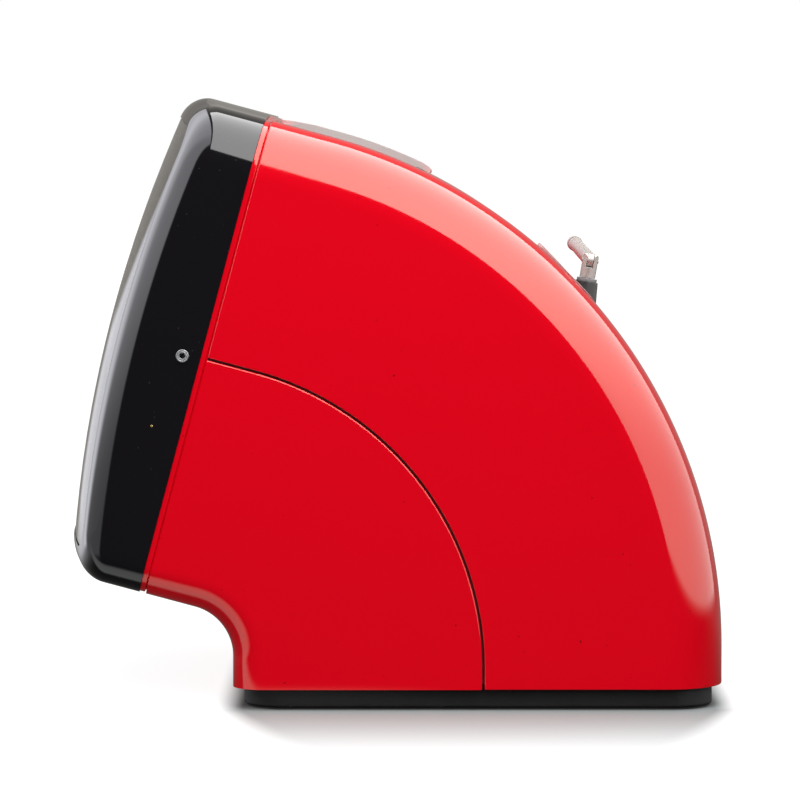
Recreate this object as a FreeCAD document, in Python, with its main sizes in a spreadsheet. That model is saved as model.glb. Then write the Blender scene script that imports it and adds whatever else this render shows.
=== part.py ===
import FreeCAD, Part
import math
import operator
import os
import Sketcher

# Portable picture-tube television set, about 1970.
# Frame: +Z up, front towards -Y, width along X, origin on the floor under the middle of the set.
# The cabinet's side is a quarter round about one centre. From that centre, "ahead" is the distance
# towards the leaning screen and "up" is the distance along the screen's own height.

doc = FreeCAD.newDocument("portable_television")
dims = doc.addObject("Spreadsheet::Sheet", "Dims")

SIZES = {
    # Cabinet
    "cabinet_width": 320.0,
    "cabinet_wall": 3.0,
    "screen_lean": 15.0,
    "back_radius": 310.4,
    "back_centre_y": -115.1,
    "back_centre_z": 34.4,
    "brow_length": 39.7,
    "chin_level": 24.4,
    "leg_front_y": -92.5,
    "leg_hollow": 30.0,
    "crown_round": 34.0,
    "chin_round": 18.0,
    "flange_width": 15.0,
    "rim_depth": 4.0,
    "rim_step": 0.8,
    "rim_width": 9.0,
    "face_overstand": 3.4,
    # Seam between the rear cover and the lower cabinet
    "seam_radius": 179.0,
    "seam_centre_ahead_y": 9.9,
    "seam_centre_below_z": 9.0,
    "seam_gap": 1.4,
    "tongue_reach": 6.0,
    "tongue_depth": 2.0,
    # Vents and speaker grille
    "vent_length": 72.0,
    "vent_height": 4.0,
    "vent_column_pitch": 84.0,
    "vent_start_angle": 62.0,
    "vent_span_angle": 18.0,
    "vent_rows": 9,
    "grille_radius": 38.0,
    "grille_slot": 3.0,
    "grille_pitch": 7.5,
    # Bezel, filter and picture tube
    "face_radius": 760.0,
    "face_depth": 64.8,
    "face_rise": 4.4,
    "bezel_wall": 3.0,
    "bezel_front": 7.0,
    "bezel_round": 14.0,
    "filter_margin": 15.0,
    "filter_corner": 20.0,
    "filter_thickness": 3.0,
    "filter_sink": 0.6,
    "screen_side_margin": 34.0,
    "screen_level_margin": 46.0,
    "screen_corner": 28.0,
    "tube_side_margin": 23.0,
    "tube_level_margin": 36.0,
    "tube_corner": 34.0,
    "tube_skirt_ahead": 50.0,
    "tube_length": 280.0,
    "tube_glass": 5.0,
    "neck_radius": 14.5,
    "funnel_length": 100.0,
    "funnel_waist_share": 0.4,
    "funnel_waist_spread": 0.64,
    "funnel_throat_share": 0.75,
    "funnel_throat_spread": 0.3,
    "band_width": 14.0,
    "band_thickness": 1.5,
    "boss_radius": 4.5,
    "boss_side_margin": 21.0,
    "boss_level_margin": 34.0,
    "boss_root_share": 0.8,
    "lug_root_share": 0.3,
    # Deflection parts on the tube's neck
    "yoke_length": 46.0,
    "yoke_radius": 31.0,
    "yoke_wall": 7.0,
    "core_width": 22.0,
    "clamp_width": 10.0,
    "magnet_width": 3.5,
    "magnet_pitch": 4.2,
    "neck_board_size": 62.0,
    "cap_radius": 9.0,
    "cap_height": 7.0,
    "cap_x": 60.0,
    "cap_back_share": 0.2,
    "cap_seat_share": 0.84,
    "board_thickness": 1.6,
    # Plinth
    "plinth_height": 12.7,
    "plinth_inset": 6.0,
    "plinth_corner": 24.0,
    "plinth_wall": 3.0,
    "plinth_chamfer": 2.0,
    "foot_radius": 10.0,
    "foot_height": 3.0,
    "foot_inset": 24.0,
    "floor_gap": 1.0,
    # Control tray and carry handle
    "tray_half_width": 75.0,
    "tray_ahead": 27.0,
    "tray_behind": 58.0,
    "tray_depth": 12.0,
    "tray_floor": 3.0,
    "tray_wall": 2.0,
    "strap_ahead": 35.0,
    "strap_angle": 11.7,
    "strap_width": 26.0,
    "strap_thickness": 4.3,
    "strap_end_round": 11.0,
    "post_radius": 3.5,
    "post_front": 16.0,
    "post_rear": 46.0,
    "bush_radius": 5.5,
    "bush_flange_radius": 7.5,
    "bush_flange": 1.0,
    "bush_length": 9.0,
    "handle_lift": 26.0,
    "clip_radius": 6.0,
    "clip_thickness": 1.5,
    # Sliders, buttons and tuning
    "slider_x": 28.0,
    "slider_pitch": 16.0,
    "slider_y": 14.0,
    "slider_travel": 14.0,
    "slider_cap_width": 10.0,
    "slider_cap_length": 12.0,
    "slider_cap_height": 6.0,
    "slider_top_share": 0.85,
    "slider_dip_share": 0.25,
    "slider_dip_height": 4.5,
    "slider_stem_width": 2.8,
    "slider_stem_length": 6.0,
    "slider_stem_depth": 8.0,
    "pot_width": 13.0,
    "pot_length": 52.0,
    "pot_height": 12.0,
    "button_x": 31.0,
    "button_front_y": -12.0,
    "button_pitch": 13.0,
    "button_width": 14.0,
    "button_length": 10.0,
    "button_height": 5.0,
    "button_round": 1.5,
    "button_travel": 3.0,
    "button_stem": 5.0,
    "button_stem_depth": 10.0,
    "switch_height": 20.0,
    "switch_margin": 3.0,
    "wheel_x": 56.0,
    "wheel_radius": 17.0,
    "wheel_width": 8.0,
    "wheel_rise": 5.0,
    "wheel_notch": 1.0,
    "wheel_notches": 20,
    "shaft_radius": 2.0,
    "shaft_reach": 14.0,
    "tuner_width": 34.0,
    "tuner_length": 52.0,
    "tuner_height": 34.0,
    # Aerial
    "aerial_side_margin": 55.0,
    "aerial_angle": 47.8,
    "aerial_lean": 10.0,
    "plate_width": 30.0,
    "plate_thickness": 1.6,
    "plate_ahead_angle": 7.0,
    "plate_behind_angle": 2.4,
    "plate_corner": 6.0,
    "socket_rise": 8.0,
    "socket_root": 18.0,
    "socket_top_radius": 6.4,
    "socket_base_radius": 9.0,
    "spigot_radius": 3.0,
    "spigot_depth": 12.0,
    "aerial_post_radius": 4.7,
    "knuckle_rise": 18.5,
    "knuckle_radius": 4.2,
    "knuckle_slot": 4.2,
    "pin_radius": 1.2,
    "rod_rise_angle": 1.3,
    "rod_start": 7.8,
    "rod_length": 204.0,
    "rod_radius": 4.3,
    "rod_tube_wall": 0.6,
    "rod_plug": 4.0,
    "rod_step": 0.5,
    "tip_radius": 5.0,
    "tip_length": 8.0,
    "tip_bevel": 2.0,
    # Earphone jack
    "jack_ahead": 50.1,
    "jack_up": 165.8,
    "jack_barrel_radius": 2.7,
    "jack_bore_radius": 1.75,
    "jack_bore_depth": 13.0,
    "jack_length": 15.0,
    "jack_flange_radius": 5.0,
    "jack_flange": 2.0,
    "jack_nut_radius": 3.7,
    "jack_nut_height": 1.0,
    # Chassis, loudspeaker and mains inlet
    "chassis_half_width": 110.0,
    "chassis_front_y": -58.0,
    "chassis_length": 205.0,
    "chassis_sheet": 1.5,
    "chassis_height": 13.0,
    "board_length": 128.0,
    "capacitor_radius": 9.0,
    "capacitor_height": 38.0,
    "capacitor_pitch": 24.0,
    "capacitor_left_x": -88.0,
    "capacitor_row": 96.0,
    "can_size": 12.0,
    "can_height": 20.0,
    "can_pitch": 22.0,
    "can_left_x": -22.0,
    "can_row": 38.4,
    "transformer_x": 58.0,
    "transformer_y": 108.0,
    "transformer_width": 64.0,
    "transformer_depth": 36.0,
    "transformer_height": 54.0,
    "coil_bulge": 9.0,
    "coil_width": 36.0,
    "coil_height": 32.0,
    "flyback_x": -58.0,
    "flyback_width": 50.0,
    "flyback_limb": 13.0,
    "flyback_height": 58.0,
    "flyback_coil_radius": 15.0,
    "speaker_angle": 26.1065,
    "speaker_seam_gap": 4.057,
    "speaker_radius": 46.0,
    "speaker_depth": 24.0,
    "speaker_throat": 20.7,
    "speaker_mouth": 39.6,
    "basket_hole": 14.5,
    "cone_depth": 14.9,
    "cone_throat": 12.4,
    "speaker_sheet": 1.2,
    "magnet_radius": 26.0,
    "magnet_depth": 15.0,
    "inlet_x": 60.0,
    "inlet_z": 33.5,
    "inlet_width": 20.0,
    "inlet_height": 12.0,
    "inlet_depth": 18.0,
    "inlet_wall": 3.0,
    "inlet_pin_radius": 1.2,
    "inlet_pin_pitch": 8.6,
    "inlet_pin_length": 11.0,
    # Fasteners and fits
    "screw_radius": 1.6,
    "screw_head_radius": 3.2,
    "screw_head_height": 2.2,
    "screw_length": 9.0,
    "screw_row_front_near": 0.3,
    "screw_row_front_far": 0.8,
    "screw_row_rear_near": 0.2,
    "screw_row_rear_far": 0.7,
    "running_gap": 0.05,
    "free_gap": 0.3,
    "hole_gap": 0.15,
}


class Size:
    """A number that carries the sheet formula it comes from."""

    def __init__(self, value, formula):
        self.value = value
        self.formula = formula

    def __add__(self, other):
        return joined(operator.add, self, "+", other)

    def __radd__(self, other):
        return joined(operator.add, other, "+", self)

    def __sub__(self, other):
        return joined(operator.sub, self, "-", other)

    def __rsub__(self, other):
        return joined(operator.sub, other, "-", self)

    def __mul__(self, other):
        return joined(operator.mul, self, "*", other)

    def __rmul__(self, other):
        return joined(operator.mul, other, "*", self)

    def __truediv__(self, other):
        return joined(operator.truediv, self, "/", other)

    def __neg__(self):
        return joined(operator.sub, 0, "-", self)


def size_of(number):
    return number if isinstance(number, Size) else Size(number, f"({number})")


def joined(action, left, sign, right):
    left = size_of(left)
    right = size_of(right)
    return Size(action(left.value, right.value), f"({left.formula} {sign} {right.formula})")


def sine(angle):
    return Size(math.sin(math.radians(angle.value)), f"sin({angle.formula})")


def cosine(angle):
    return Size(math.cos(math.radians(angle.value)), f"cos({angle.formula})")


def root(number):
    return Size(math.sqrt(number.value), f"sqrt({number.formula})")


def squared(number):
    number = size_of(number)
    return number * number


class Sheet:
    """The driving dimensions by name, each tied to its cell."""


d = Sheet()
for row, (name, number) in enumerate(SIZES.items(), start=1):
    dims.set(f"A{row}", name)
    dims.set(f"B{row}", str(number))
    dims.setAlias(f"B{row}", name)
    setattr(d, name, Size(number, f"Dims.{name}"))
doc.recompute()


# Drawing helpers: sizes are bound to the sheet, and places too

def bind(item, prop, amount):
    item.setExpression(prop, size_of(amount).formula)


def spot(x=0, y=0, z=0, axis=(1, 0, 0), angle=0):
    x, y, z, angle = (size_of(number).formula for number in (x, y, z, angle))
    turn = f"rotation(vector({axis[0]}; {axis[1]}; {axis[2]}); {angle})"
    return f"placement(vector({x}; {y}; {z}); {turn})"


def put(item, *places):
    item.setExpression("Placement", " * ".join(places))
    return item


def new_body(name):
    return doc.addObject("PartDesign::Body", name)


def new_sketch(body, plane, offset=0):
    sketch = body.newObject("Sketcher::SketchObject", body.Name + "_sketch")
    origin_plane = [item for item in body.Origin.OriginFeatures if item.Role == plane][0]
    sketch.AttachmentSupport = (origin_plane, "")
    sketch.MapMode = "FlatFace"
    bind(sketch, "AttachmentOffset.Base.z", offset)
    return sketch


def pin_point(sketch, item, end, place):
    for kind, amount in zip(("DistanceX", "DistanceY"), place):
        amount = size_of(amount)
        index = sketch.addConstraint(Sketcher.Constraint(kind, -1, 1, item, end, amount.value))
        bind(sketch, f"Constraints[{index}]", amount)


def outline(sketch, points, centres=None):
    """Closed outline through the points; centres gives the arc centre of each edge that is round."""
    centres = centres or {}
    ends = []
    spots = [FreeCAD.Vector(size_of(a).value, size_of(b).value, 0) for a, b in points]
    for index, start in enumerate(spots):
        finish = spots[(index + 1) % len(spots)]
        if index not in centres:
            ends.append((sketch.addGeometry(Part.LineSegment(start, finish)), 1, 2))
            continue
        middle = FreeCAD.Vector(*[size_of(amount).value for amount in centres[index]], 0)
        first = math.atan2(start.y - middle.y, start.x - middle.x)
        last = math.atan2(finish.y - middle.y, finish.x - middle.x)
        forwards = (last - first) % (2 * math.pi) < math.pi
        if not forwards:
            first, last = last, first
        circle = Part.Circle(middle, FreeCAD.Vector(0, 0, 1), start.distanceToPoint(middle))
        item = sketch.addGeometry(Part.ArcOfCircle(circle, first, last))
        ends.append((item, 1, 2) if forwards else (item, 2, 1))
    for index, (item, begin, end) in enumerate(ends):
        following, start_of_next, _ = ends[(index + 1) % len(ends)]
        sketch.addConstraint(Sketcher.Constraint("Coincident", item, end, following, start_of_next))
        pin_point(sketch, item, begin, points[index])
    for index, centre in centres.items():
        radius = root(squared(points[index][0] - centre[0]) + squared(points[index][1] - centre[1]))
        constraint = Sketcher.Constraint("Radius", ends[index][0], radius.value)
        bind(sketch, f"Constraints[{sketch.addConstraint(constraint)}]", radius)

def disc(sketch, radius, place=(0, 0)):
    middle = FreeCAD.Vector(*[size_of(amount).value for amount in place], 0)
    item = sketch.addGeometry(Part.Circle(middle, FreeCAD.Vector(0, 0, 1), size_of(radius).value))
    pin_point(sketch, item, 3, place)
    constraint = Sketcher.Constraint("Radius", item, size_of(radius).value)
    bind(sketch, f"Constraints[{sketch.addConstraint(constraint)}]", radius)


def rounded_box(left, right, low, high, low_round, high_round):
    """Points and arc centres of a rectangle with its own rounding at the low and the high corners."""
    points = [
        (left + low_round, low), (right - low_round, low),
        (right, low + low_round), (right, high - high_round),
        (right - high_round, high), (left + high_round, high),
        (left, high - high_round), (left, low + low_round),
    ]
    centres = {
        1: (right - low_round, low + low_round),
        3: (right - high_round, high - high_round),
        5: (left + high_round, high - high_round),
        7: (left + low_round, low + low_round),
    }
    return points, centres


def slot(centre_x, centre_y, half_length, half_height):
    """Points and arc centres of a round-ended slot."""
    near = centre_x - half_length + half_height
    far = centre_x + half_length - half_height
    points = [
        (near, centre_y - half_height), (far, centre_y - half_height), (far + half_height, centre_y),
        (far, centre_y + half_height), (near, centre_y + half_height), (near - half_height, centre_y),
    ]
    centres = {1: (far, centre_y), 2: (far, centre_y), 4: (near, centre_y), 5: (near, centre_y)}
    return points, centres


def pad(body, sketch, length, symmetric=False, reverse=False):
    feature = body.newObject("PartDesign::Pad", body.Name + "_pad")
    feature.Profile = sketch
    if symmetric:
        feature.SideType = "Symmetric"
    feature.Reversed = reverse
    bind(feature, "Length", length)
    return feature


def fillet(body, base, edges, radius):
    feature = body.newObject("PartDesign::Fillet", body.Name + "_fillet")
    feature.Base = (base, edges)
    bind(feature, "Radius", radius)
    doc.recompute()
    return feature


def edges_where(item, test):
    return [f"Edge{index}" for index, edge in enumerate(item.Shape.Edges, start=1) if test(edge)]


def turned(name, points, centres=None):
    """A ring or solid of revolution about its own Y axis; points are (along, radius)."""
    body = new_body(name)
    sketch = new_sketch(body, "YZ_Plane")
    outline(sketch, points, centres)
    feature = body.newObject("PartDesign::Revolution", name + "_turn")
    feature.Profile = sketch
    feature.ReferenceAxis = (sketch, ["H_Axis"])
    feature.Angle = 360
    return body


def ring_points(start, end, inner, outer):
    return [(start, inner), (end, inner), (end, outer), (start, outer)]


def box(name, x, y, z, at, *frame):
    """A block of size x, y, z whose lowest corner is at the given place."""
    item = doc.addObject("Part::Box", name)
    bind(item, "Length", x)
    bind(item, "Width", y)
    bind(item, "Height", z)
    return put(item, *frame, spot(*at))


def rod(name, radius, length, at, *frame, axis=(1, 0, 0), angle=0):
    """A cylinder along Z from the given place, turned by the angle about the axis."""
    item = doc.addObject("Part::Cylinder", name)
    bind(item, "Radius", radius)
    bind(item, "Height", length)
    return put(item, *frame, spot(*at, axis=axis, angle=angle))


def cut(name, base, *tools):
    tool = tools[0] if len(tools) == 1 else group(name + "_tools", tools)
    item = doc.addObject("Part::Cut", name)
    item.Base = base
    item.Tool = tool
    return item


def fuse(name, *items):
    item = doc.addObject("Part::MultiFuse", name)
    item.Shapes = list(items)
    return item


def common(name, base, tool):
    item = doc.addObject("Part::Common", name)
    item.Base = base
    item.Tool = tool
    return item


def group(name, items):
    item = doc.addObject("Part::Compound", name)
    item.Links = list(items)
    return item


parts = []
NEAR = 0.01  # two places closer than this are one place


def keep(label, item):
    item.Label = label
    parts.append(item)
    return item


# Places worked out from the sheet

zero = size_of(0)
lean_sin = sine(d.screen_lean)
lean_cos = cosine(d.screen_lean)
half_width = d.cabinet_width / 2
cabinet_front = d.brow_length - d.rim_depth
rear_y = d.back_centre_y + d.back_radius
leaning = spot(0, d.back_centre_y, d.back_centre_z, angle=-d.screen_lean)
face_up = (d.back_radius + d.chin_level) / 2 + d.face_rise
face_half_height = (d.back_radius - d.chin_level) / 2
facing = leaning + " * " + spot(0, 0, face_up)
face_top = d.back_radius + d.face_overstand - face_up
face_low = d.chin_level - face_up
face_apex = d.brow_length + d.face_depth
tube_half_width = half_width - d.tube_side_margin
tube_half_height = face_half_height - d.tube_level_margin
boss_x = half_width - d.boss_side_margin
boss_rise = face_half_height - d.boss_level_margin
aerial_x = half_width - d.aerial_side_margin
screw_hole_radius = d.screw_radius + d.hole_gap


def leaning_point(ahead, up):
    y = d.back_centre_y - ahead * lean_cos + up * lean_sin
    z = d.back_centre_z + ahead * lean_sin + up * lean_cos
    return y, z


# Cabinet: one quarter-round form, hollowed and parted along the seam

def cabinet_form(name, inset):
    radius = d.back_radius - inset
    floor = d.plinth_height + inset
    leg = d.leg_front_y + inset
    hollow_y = d.leg_front_y - d.leg_hollow
    hollow_up = d.chin_level - d.leg_hollow
    hollow_z = d.back_centre_z + (hollow_up - (hollow_y - d.back_centre_y) * lean_sin) / lean_cos
    hollow = d.leg_hollow + inset
    points = [
        leaning_point(cabinet_front, radius),
        leaning_point(0, radius),
        (d.back_centre_y + radius, d.back_centre_z),
        (d.back_centre_y + radius, floor),
        (leg, floor),
        (leg, hollow_z),
        (hollow_y + hollow * lean_sin, hollow_z + hollow * lean_cos),
        leaning_point(cabinet_front, d.chin_level + inset),
    ]
    centres = {1: (d.back_centre_y, d.back_centre_z), 5: (hollow_y, hollow_z)}
    body = new_body(name)
    sketch = new_sketch(body, "YZ_Plane")
    outline(sketch, points, centres)
    block = pad(body, sketch, d.cabinet_width - 2 * inset, symmetric=True)
    doc.recompute()
    side = half_width.value - size_of(inset).value

    def on_side(edge):
        return all(abs(abs(vertex.X) - side) < NEAR for vertex in edge.Vertexes)

    def from_centre(edge):
        middle = edge.CenterOfMass if edge.Curve.TypeId == "Part::GeomLine" else edge.Vertexes[0].Point
        return math.hypot(middle.y - d.back_centre_y.value, middle.z - d.back_centre_z.value)

    def on_crown(edge):
        return on_side(edge) and from_centre(edge) > radius.value - NEAR and not level(edge)

    def level(edge):
        return all(abs(vertex.Z - floor.value) < NEAR for vertex in edge.Vertexes)

    def on_front(edge):
        front_y, front_z = leaning_point(cabinet_front, 0)
        across = [
            (vertex.Y - front_y.value) * lean_cos.value - (vertex.Z - front_z.value) * lean_sin.value
            for vertex in edge.Vertexes
        ]
        return all(abs(distance) < NEAR for distance in across)

    def on_chin(edge):
        return on_side(edge) and not (on_crown(edge) or level(edge) or on_front(edge))

    def crown_edge(edge):
        return on_crown(edge) and not on_front(edge)

    crown = fillet(body, block, edges_where(block, crown_edge), d.crown_round - inset)
    fillet(body, crown, edges_where(crown, on_chin), d.chin_round - inset)
    return body


def seam_form(name, grow):
    radius = d.seam_radius + grow
    middle_y = d.back_centre_y - d.seam_centre_ahead_y
    middle_z = d.back_centre_z - d.seam_centre_below_z
    front_y = middle_y - d.back_radius * lean_cos + radius * lean_sin
    front_z = middle_z + d.back_radius * lean_sin + radius * lean_cos
    below = -d.plinth_height
    points = [
        (front_y, front_z),
        (middle_y + radius * lean_sin, middle_z + radius * lean_cos),
        (middle_y + radius, middle_z),
        (middle_y + radius, below),
        (front_y, below),
    ]
    body = new_body(name)
    sketch = new_sketch(body, "YZ_Plane")
    outline(sketch, points, {1: (middle_y, middle_z)})
    pad(body, sketch, d.cabinet_width * 2, symmetric=True)
    return body


cabinet_outside = cabinet_form("cabinet_outside", 0)
cabinet_inside = cabinet_form("cabinet_inside", d.cabinet_wall)
flange_inset = d.cabinet_wall + d.flange_width
floor_length = rear_y - d.leg_front_y
floor_opening = box(
    "floor_opening", d.cabinet_width - 2 * flange_inset, floor_length - 2 * flange_inset, 4 * d.cabinet_wall,
    (flange_inset - half_width, d.leg_front_y + flange_inset, d.plinth_height - d.cabinet_wall),
)
cabinet_shell = cut("cabinet_shell", cabinet_outside, cabinet_inside, floor_opening)

# Screws from below hold both shells to the plinth
screw_x = half_width - d.plinth_inset - d.plinth_wall - d.screw_head_radius - d.free_gap
seam_foot_y = d.back_centre_y - d.seam_centre_ahead_y + d.seam_radius
front_run = seam_foot_y - d.leg_front_y
rear_run = rear_y - seam_foot_y
screw_rows = [
    d.leg_front_y + front_run * d.screw_row_front_near,
    d.leg_front_y + front_run * d.screw_row_front_far,
    seam_foot_y + rear_run * d.screw_row_rear_near,
    seam_foot_y + rear_run * d.screw_row_rear_far,
]
screw_places = [(side * screw_x, y) for side in (-1, 1) for y in screw_rows]
screw_holes = []
screws = []
for index, (x, y) in enumerate(screw_places, start=1):
    shank = d.plinth_wall + d.cabinet_wall
    low = d.plinth_height - d.plinth_wall
    screw_holes.append(rod(
        f"screw_hole_{index}", screw_hole_radius, shank * 2, (x, y, low - d.cabinet_wall),
    ))
    head = rod(
        f"screw_head_{index}", d.screw_head_radius, d.screw_head_height, (x, y, low - d.screw_head_height),
    )
    stem = rod(f"screw_stem_{index}", d.screw_radius, shank, (x, y, low))
    screws.append(fuse(f"screw_{index}", head, stem))
screw_hole_group = group("screw_hole_group", screw_holes)
keep("plinth_screws", group("plinth_screws", screws))

# Lower cabinet: the leg and both side sectors, with a tongue behind the seam and the speaker grille
seam_inner = seam_form("seam_inner", -d.seam_gap / 2)
seam_outer = seam_form("seam_outer", d.seam_gap / 2)
tongue_band = cut(
    "tongue_band", seam_form("tongue_outer", d.tongue_reach), seam_form("tongue_inner", -d.tongue_reach),
)
tongue_core_width = d.cabinet_width - 2 * (d.cabinet_wall + d.tongue_depth)
tongue_core = box(
    "tongue_core", tongue_core_width, d.back_radius * 2, d.back_radius * 2,
    (-tongue_core_width / 2, d.back_centre_y - d.back_radius, -d.back_radius / 2),
)
tongue = cut("tongue", common("tongue_inside", tongue_band, cabinet_inside), tongue_core)
speaker_reach = d.seam_radius - d.tongue_reach - d.speaker_seam_gap - d.speaker_radius
speaker_y = d.back_centre_y - d.seam_centre_ahead_y + speaker_reach * cosine(d.speaker_angle)
speaker_z = d.back_centre_z - d.seam_centre_below_z + speaker_reach * sine(d.speaker_angle)
grille_body = new_body("grille_cutter")
grille_sketch = new_sketch(grille_body, "YZ_Plane")
GRILLE_HALF_ROWS = 4
for row in range(-GRILLE_HALF_ROWS, GRILLE_HALF_ROWS + 1):
    half_slot = root(squared(d.grille_radius) - squared(d.grille_pitch * row))
    level = speaker_z + d.grille_pitch * row
    outline(grille_sketch, *slot(speaker_y, level, half_slot, d.grille_slot / 2))
pad(grille_body, grille_sketch, d.cabinet_wall * 4, symmetric=True)
put(grille_body, spot(-half_width))
lower_shell = cut("lower_shell", common("lower_sector", cabinet_shell, seam_inner), grille_body)
lower_body = fuse("lower_body", lower_shell, tongue)
keep("lower_cabinet", cut("lower_cabinet", lower_body, screw_hole_group))

# Rear cover: top and back in one arc, with vents, tray opening, aerial hole and inlet opening
vent_body = new_body("vent_cutter")
vent_sketch = new_sketch(vent_body, "XY_Plane", d.back_radius - d.cabinet_wall * 3)
for column in (-1, 0, 1):
    outline(vent_sketch, *slot(d.vent_column_pitch * column, zero, d.vent_length / 2, d.vent_height / 2))
vent_pad = pad(vent_body, vent_sketch, d.cabinet_wall * 6)
doc.recompute()
vent_pattern = vent_body.newObject("PartDesign::PolarPattern", "vent_pattern")
vent_pattern.Originals = [vent_pad]
vent_axis = [item for item in vent_body.Origin.OriginFeatures if item.Role == "X_Axis"][0]
vent_pattern.Axis = (vent_axis, [""])
vent_pattern.Reversed = True
bind(vent_pattern, "Angle", d.vent_span_angle)
bind(vent_pattern, "Occurrences", d.vent_rows)
vent_body.Tip = vent_pattern
put(vent_body, spot(0, d.back_centre_y, d.back_centre_z, angle=-d.vent_start_angle))

tray_low = d.back_radius - d.tray_depth - d.tray_floor
tray_high = d.back_radius - d.tray_depth


def tray_block(name, grow, low, high):
    width = 2 * (d.tray_half_width + grow)
    length = d.tray_ahead + d.tray_behind + 2 * grow
    return box(name, width, length, high - low, (-width / 2, -d.tray_ahead - grow, low), leaning)


tray_opening = tray_block("tray_opening", d.free_gap, tray_low, d.back_radius + d.tray_depth)

aerial_y = d.back_centre_y + d.back_radius * sine(d.aerial_angle)
aerial_z = d.back_centre_z + d.back_radius * cosine(d.aerial_angle)
aerial = spot(aerial_x, aerial_y, aerial_z, angle=-d.aerial_lean)


def socket_cone(name, grow):
    item = doc.addObject("Part::Cone", name)
    bind(item, "Radius1", d.socket_base_radius + grow)
    bind(item, "Radius2", d.socket_top_radius + grow)
    bind(item, "Height", d.socket_root + d.socket_rise)
    return put(item, aerial, spot(0, 0, -d.socket_root))


socket_hole = socket_cone("socket_hole", d.free_gap)
inlet_opening = box(
    "inlet_opening", d.inlet_width, d.cabinet_wall * 6, d.inlet_height,
    (d.inlet_x - d.inlet_width / 2, rear_y - d.cabinet_wall * 3, d.inlet_z - d.inlet_height / 2),
)
keep("rear_cover", cut(
    "rear_cover", cabinet_shell, seam_outer, vent_body, tray_opening, socket_hole, inlet_opening,
    screw_hole_group,
))

# Front rim: the red strip with its step, between the cabinet and the bezel


def face_outline(inset):
    low_round = d.chin_round - inset
    high_round = d.crown_round - inset
    return rounded_box(inset - half_width, half_width - inset, face_low + inset, face_top - inset,
                       low_round, high_round)


def face_plate(name, inset, back, length):
    body = new_body(name)
    sketch = new_sketch(body, "XZ_Plane", back)
    outline(sketch, *face_outline(inset))
    pad(body, sketch, length)
    put(body, facing)
    return body


rim_plate = face_plate("rim_plate", d.rim_step, cabinet_front, d.rim_depth)
rim_hole = face_plate("rim_hole", d.rim_width, cabinet_front - d.rim_depth, d.rim_depth * 3)
keep("front_rim", cut("front_rim", rim_plate, rim_hole))

# Bezel: a rounded frame whose face is a shallow dome, rebated for the filter, with bosses for the tube
dome_reach = half_width + face_top


def dome_groove(body, sink, ahead):
    """Takes away what lies ahead of the dome, or behind it, at a depth under the face."""
    radius = d.face_radius - sink
    middle = d.face_radius - face_apex
    apex = middle - radius
    edge = middle - root(squared(radius) - squared(dome_reach))
    stop = apex - 2 * d.face_depth if ahead else d.face_radius / 2
    sketch = new_sketch(body, "YZ_Plane")
    outline(sketch, [(apex, 0), (edge, dome_reach), (stop, dome_reach), (stop, 0)], {0: (middle, 0)})
    groove = body.newObject("PartDesign::Groove", body.Name + "_groove")
    groove.Profile = sketch
    groove.ReferenceAxis = (sketch, ["H_Axis"])
    groove.Angle = 360
    return groove


def filter_block(name, grow, front_sink, back_sink):
    inset = d.filter_margin - grow
    body = new_body(name)
    sketch = new_sketch(body, "XZ_Plane", d.brow_length)
    corner = d.filter_corner + grow
    outline(sketch, *rounded_box(inset - half_width, half_width - inset, face_low + inset, face_top - inset,
                                 corner, corner))
    pad(body, sketch, d.face_depth * 2)
    dome_groove(body, back_sink, ahead=False)
    if front_sink is not None:
        dome_groove(body, front_sink, ahead=True)
    put(body, facing)
    return body


bezel_block = face_plate("bezel_block", 0, d.brow_length, d.face_depth * 2)
bezel_dome = dome_groove(bezel_block, 0, ahead=True)
doc.recompute()
dome_middle = FreeCAD.Vector(0, (d.face_radius - face_apex).value, 0)


def on_dome(edge):
    ends = [vertex.Point for vertex in edge.Vertexes]
    return len(ends) == 2 and all(
        abs(point.distanceToPoint(dome_middle) - d.face_radius.value) < NEAR for point in ends
    )


fillet(bezel_block, bezel_dome, edges_where(bezel_dome, on_dome), d.bezel_round)
bezel_void = face_plate("bezel_void", d.bezel_wall, d.brow_length - d.bezel_wall, d.face_depth * 2)
dome_groove(bezel_void, d.bezel_front, ahead=True)
filter_back = d.filter_sink + d.filter_thickness
filter_rebate = filter_block("filter_rebate", d.free_gap, None, filter_back + d.hole_gap)


def screen_outline(half_x, half_z, corner):
    return rounded_box(-half_x, half_x, -half_z, half_z, corner, corner)


screen_opening = new_body("screen_opening")
screen_sketch = new_sketch(screen_opening, "XZ_Plane", d.brow_length)
screen_half_width = half_width - d.screen_side_margin
screen_half_height = face_half_height - d.screen_level_margin
outline(screen_sketch, *screen_outline(screen_half_width, screen_half_height, d.screen_corner))
pad(screen_opening, screen_sketch, d.face_depth * 2)
put(screen_opening, facing)

boss_back = d.tube_skirt_ahead + d.band_width / 2
boss_front_ahead = face_apex - d.face_radius + root(
    squared(d.face_radius - d.bezel_front * d.boss_root_share) - squared(boss_x) - squared(boss_rise)
)
boss_places = [(x * boss_x, z * boss_rise) for x in (-1, 1) for z in (-1, 1)]


def forward_rod(name, radius, length, at):
    """A cylinder that runs ahead, square to the screen, from the given place about the face's middle."""
    return rod(name, radius, length, at, facing, axis=(1, 0, 0), angle=90)


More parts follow.
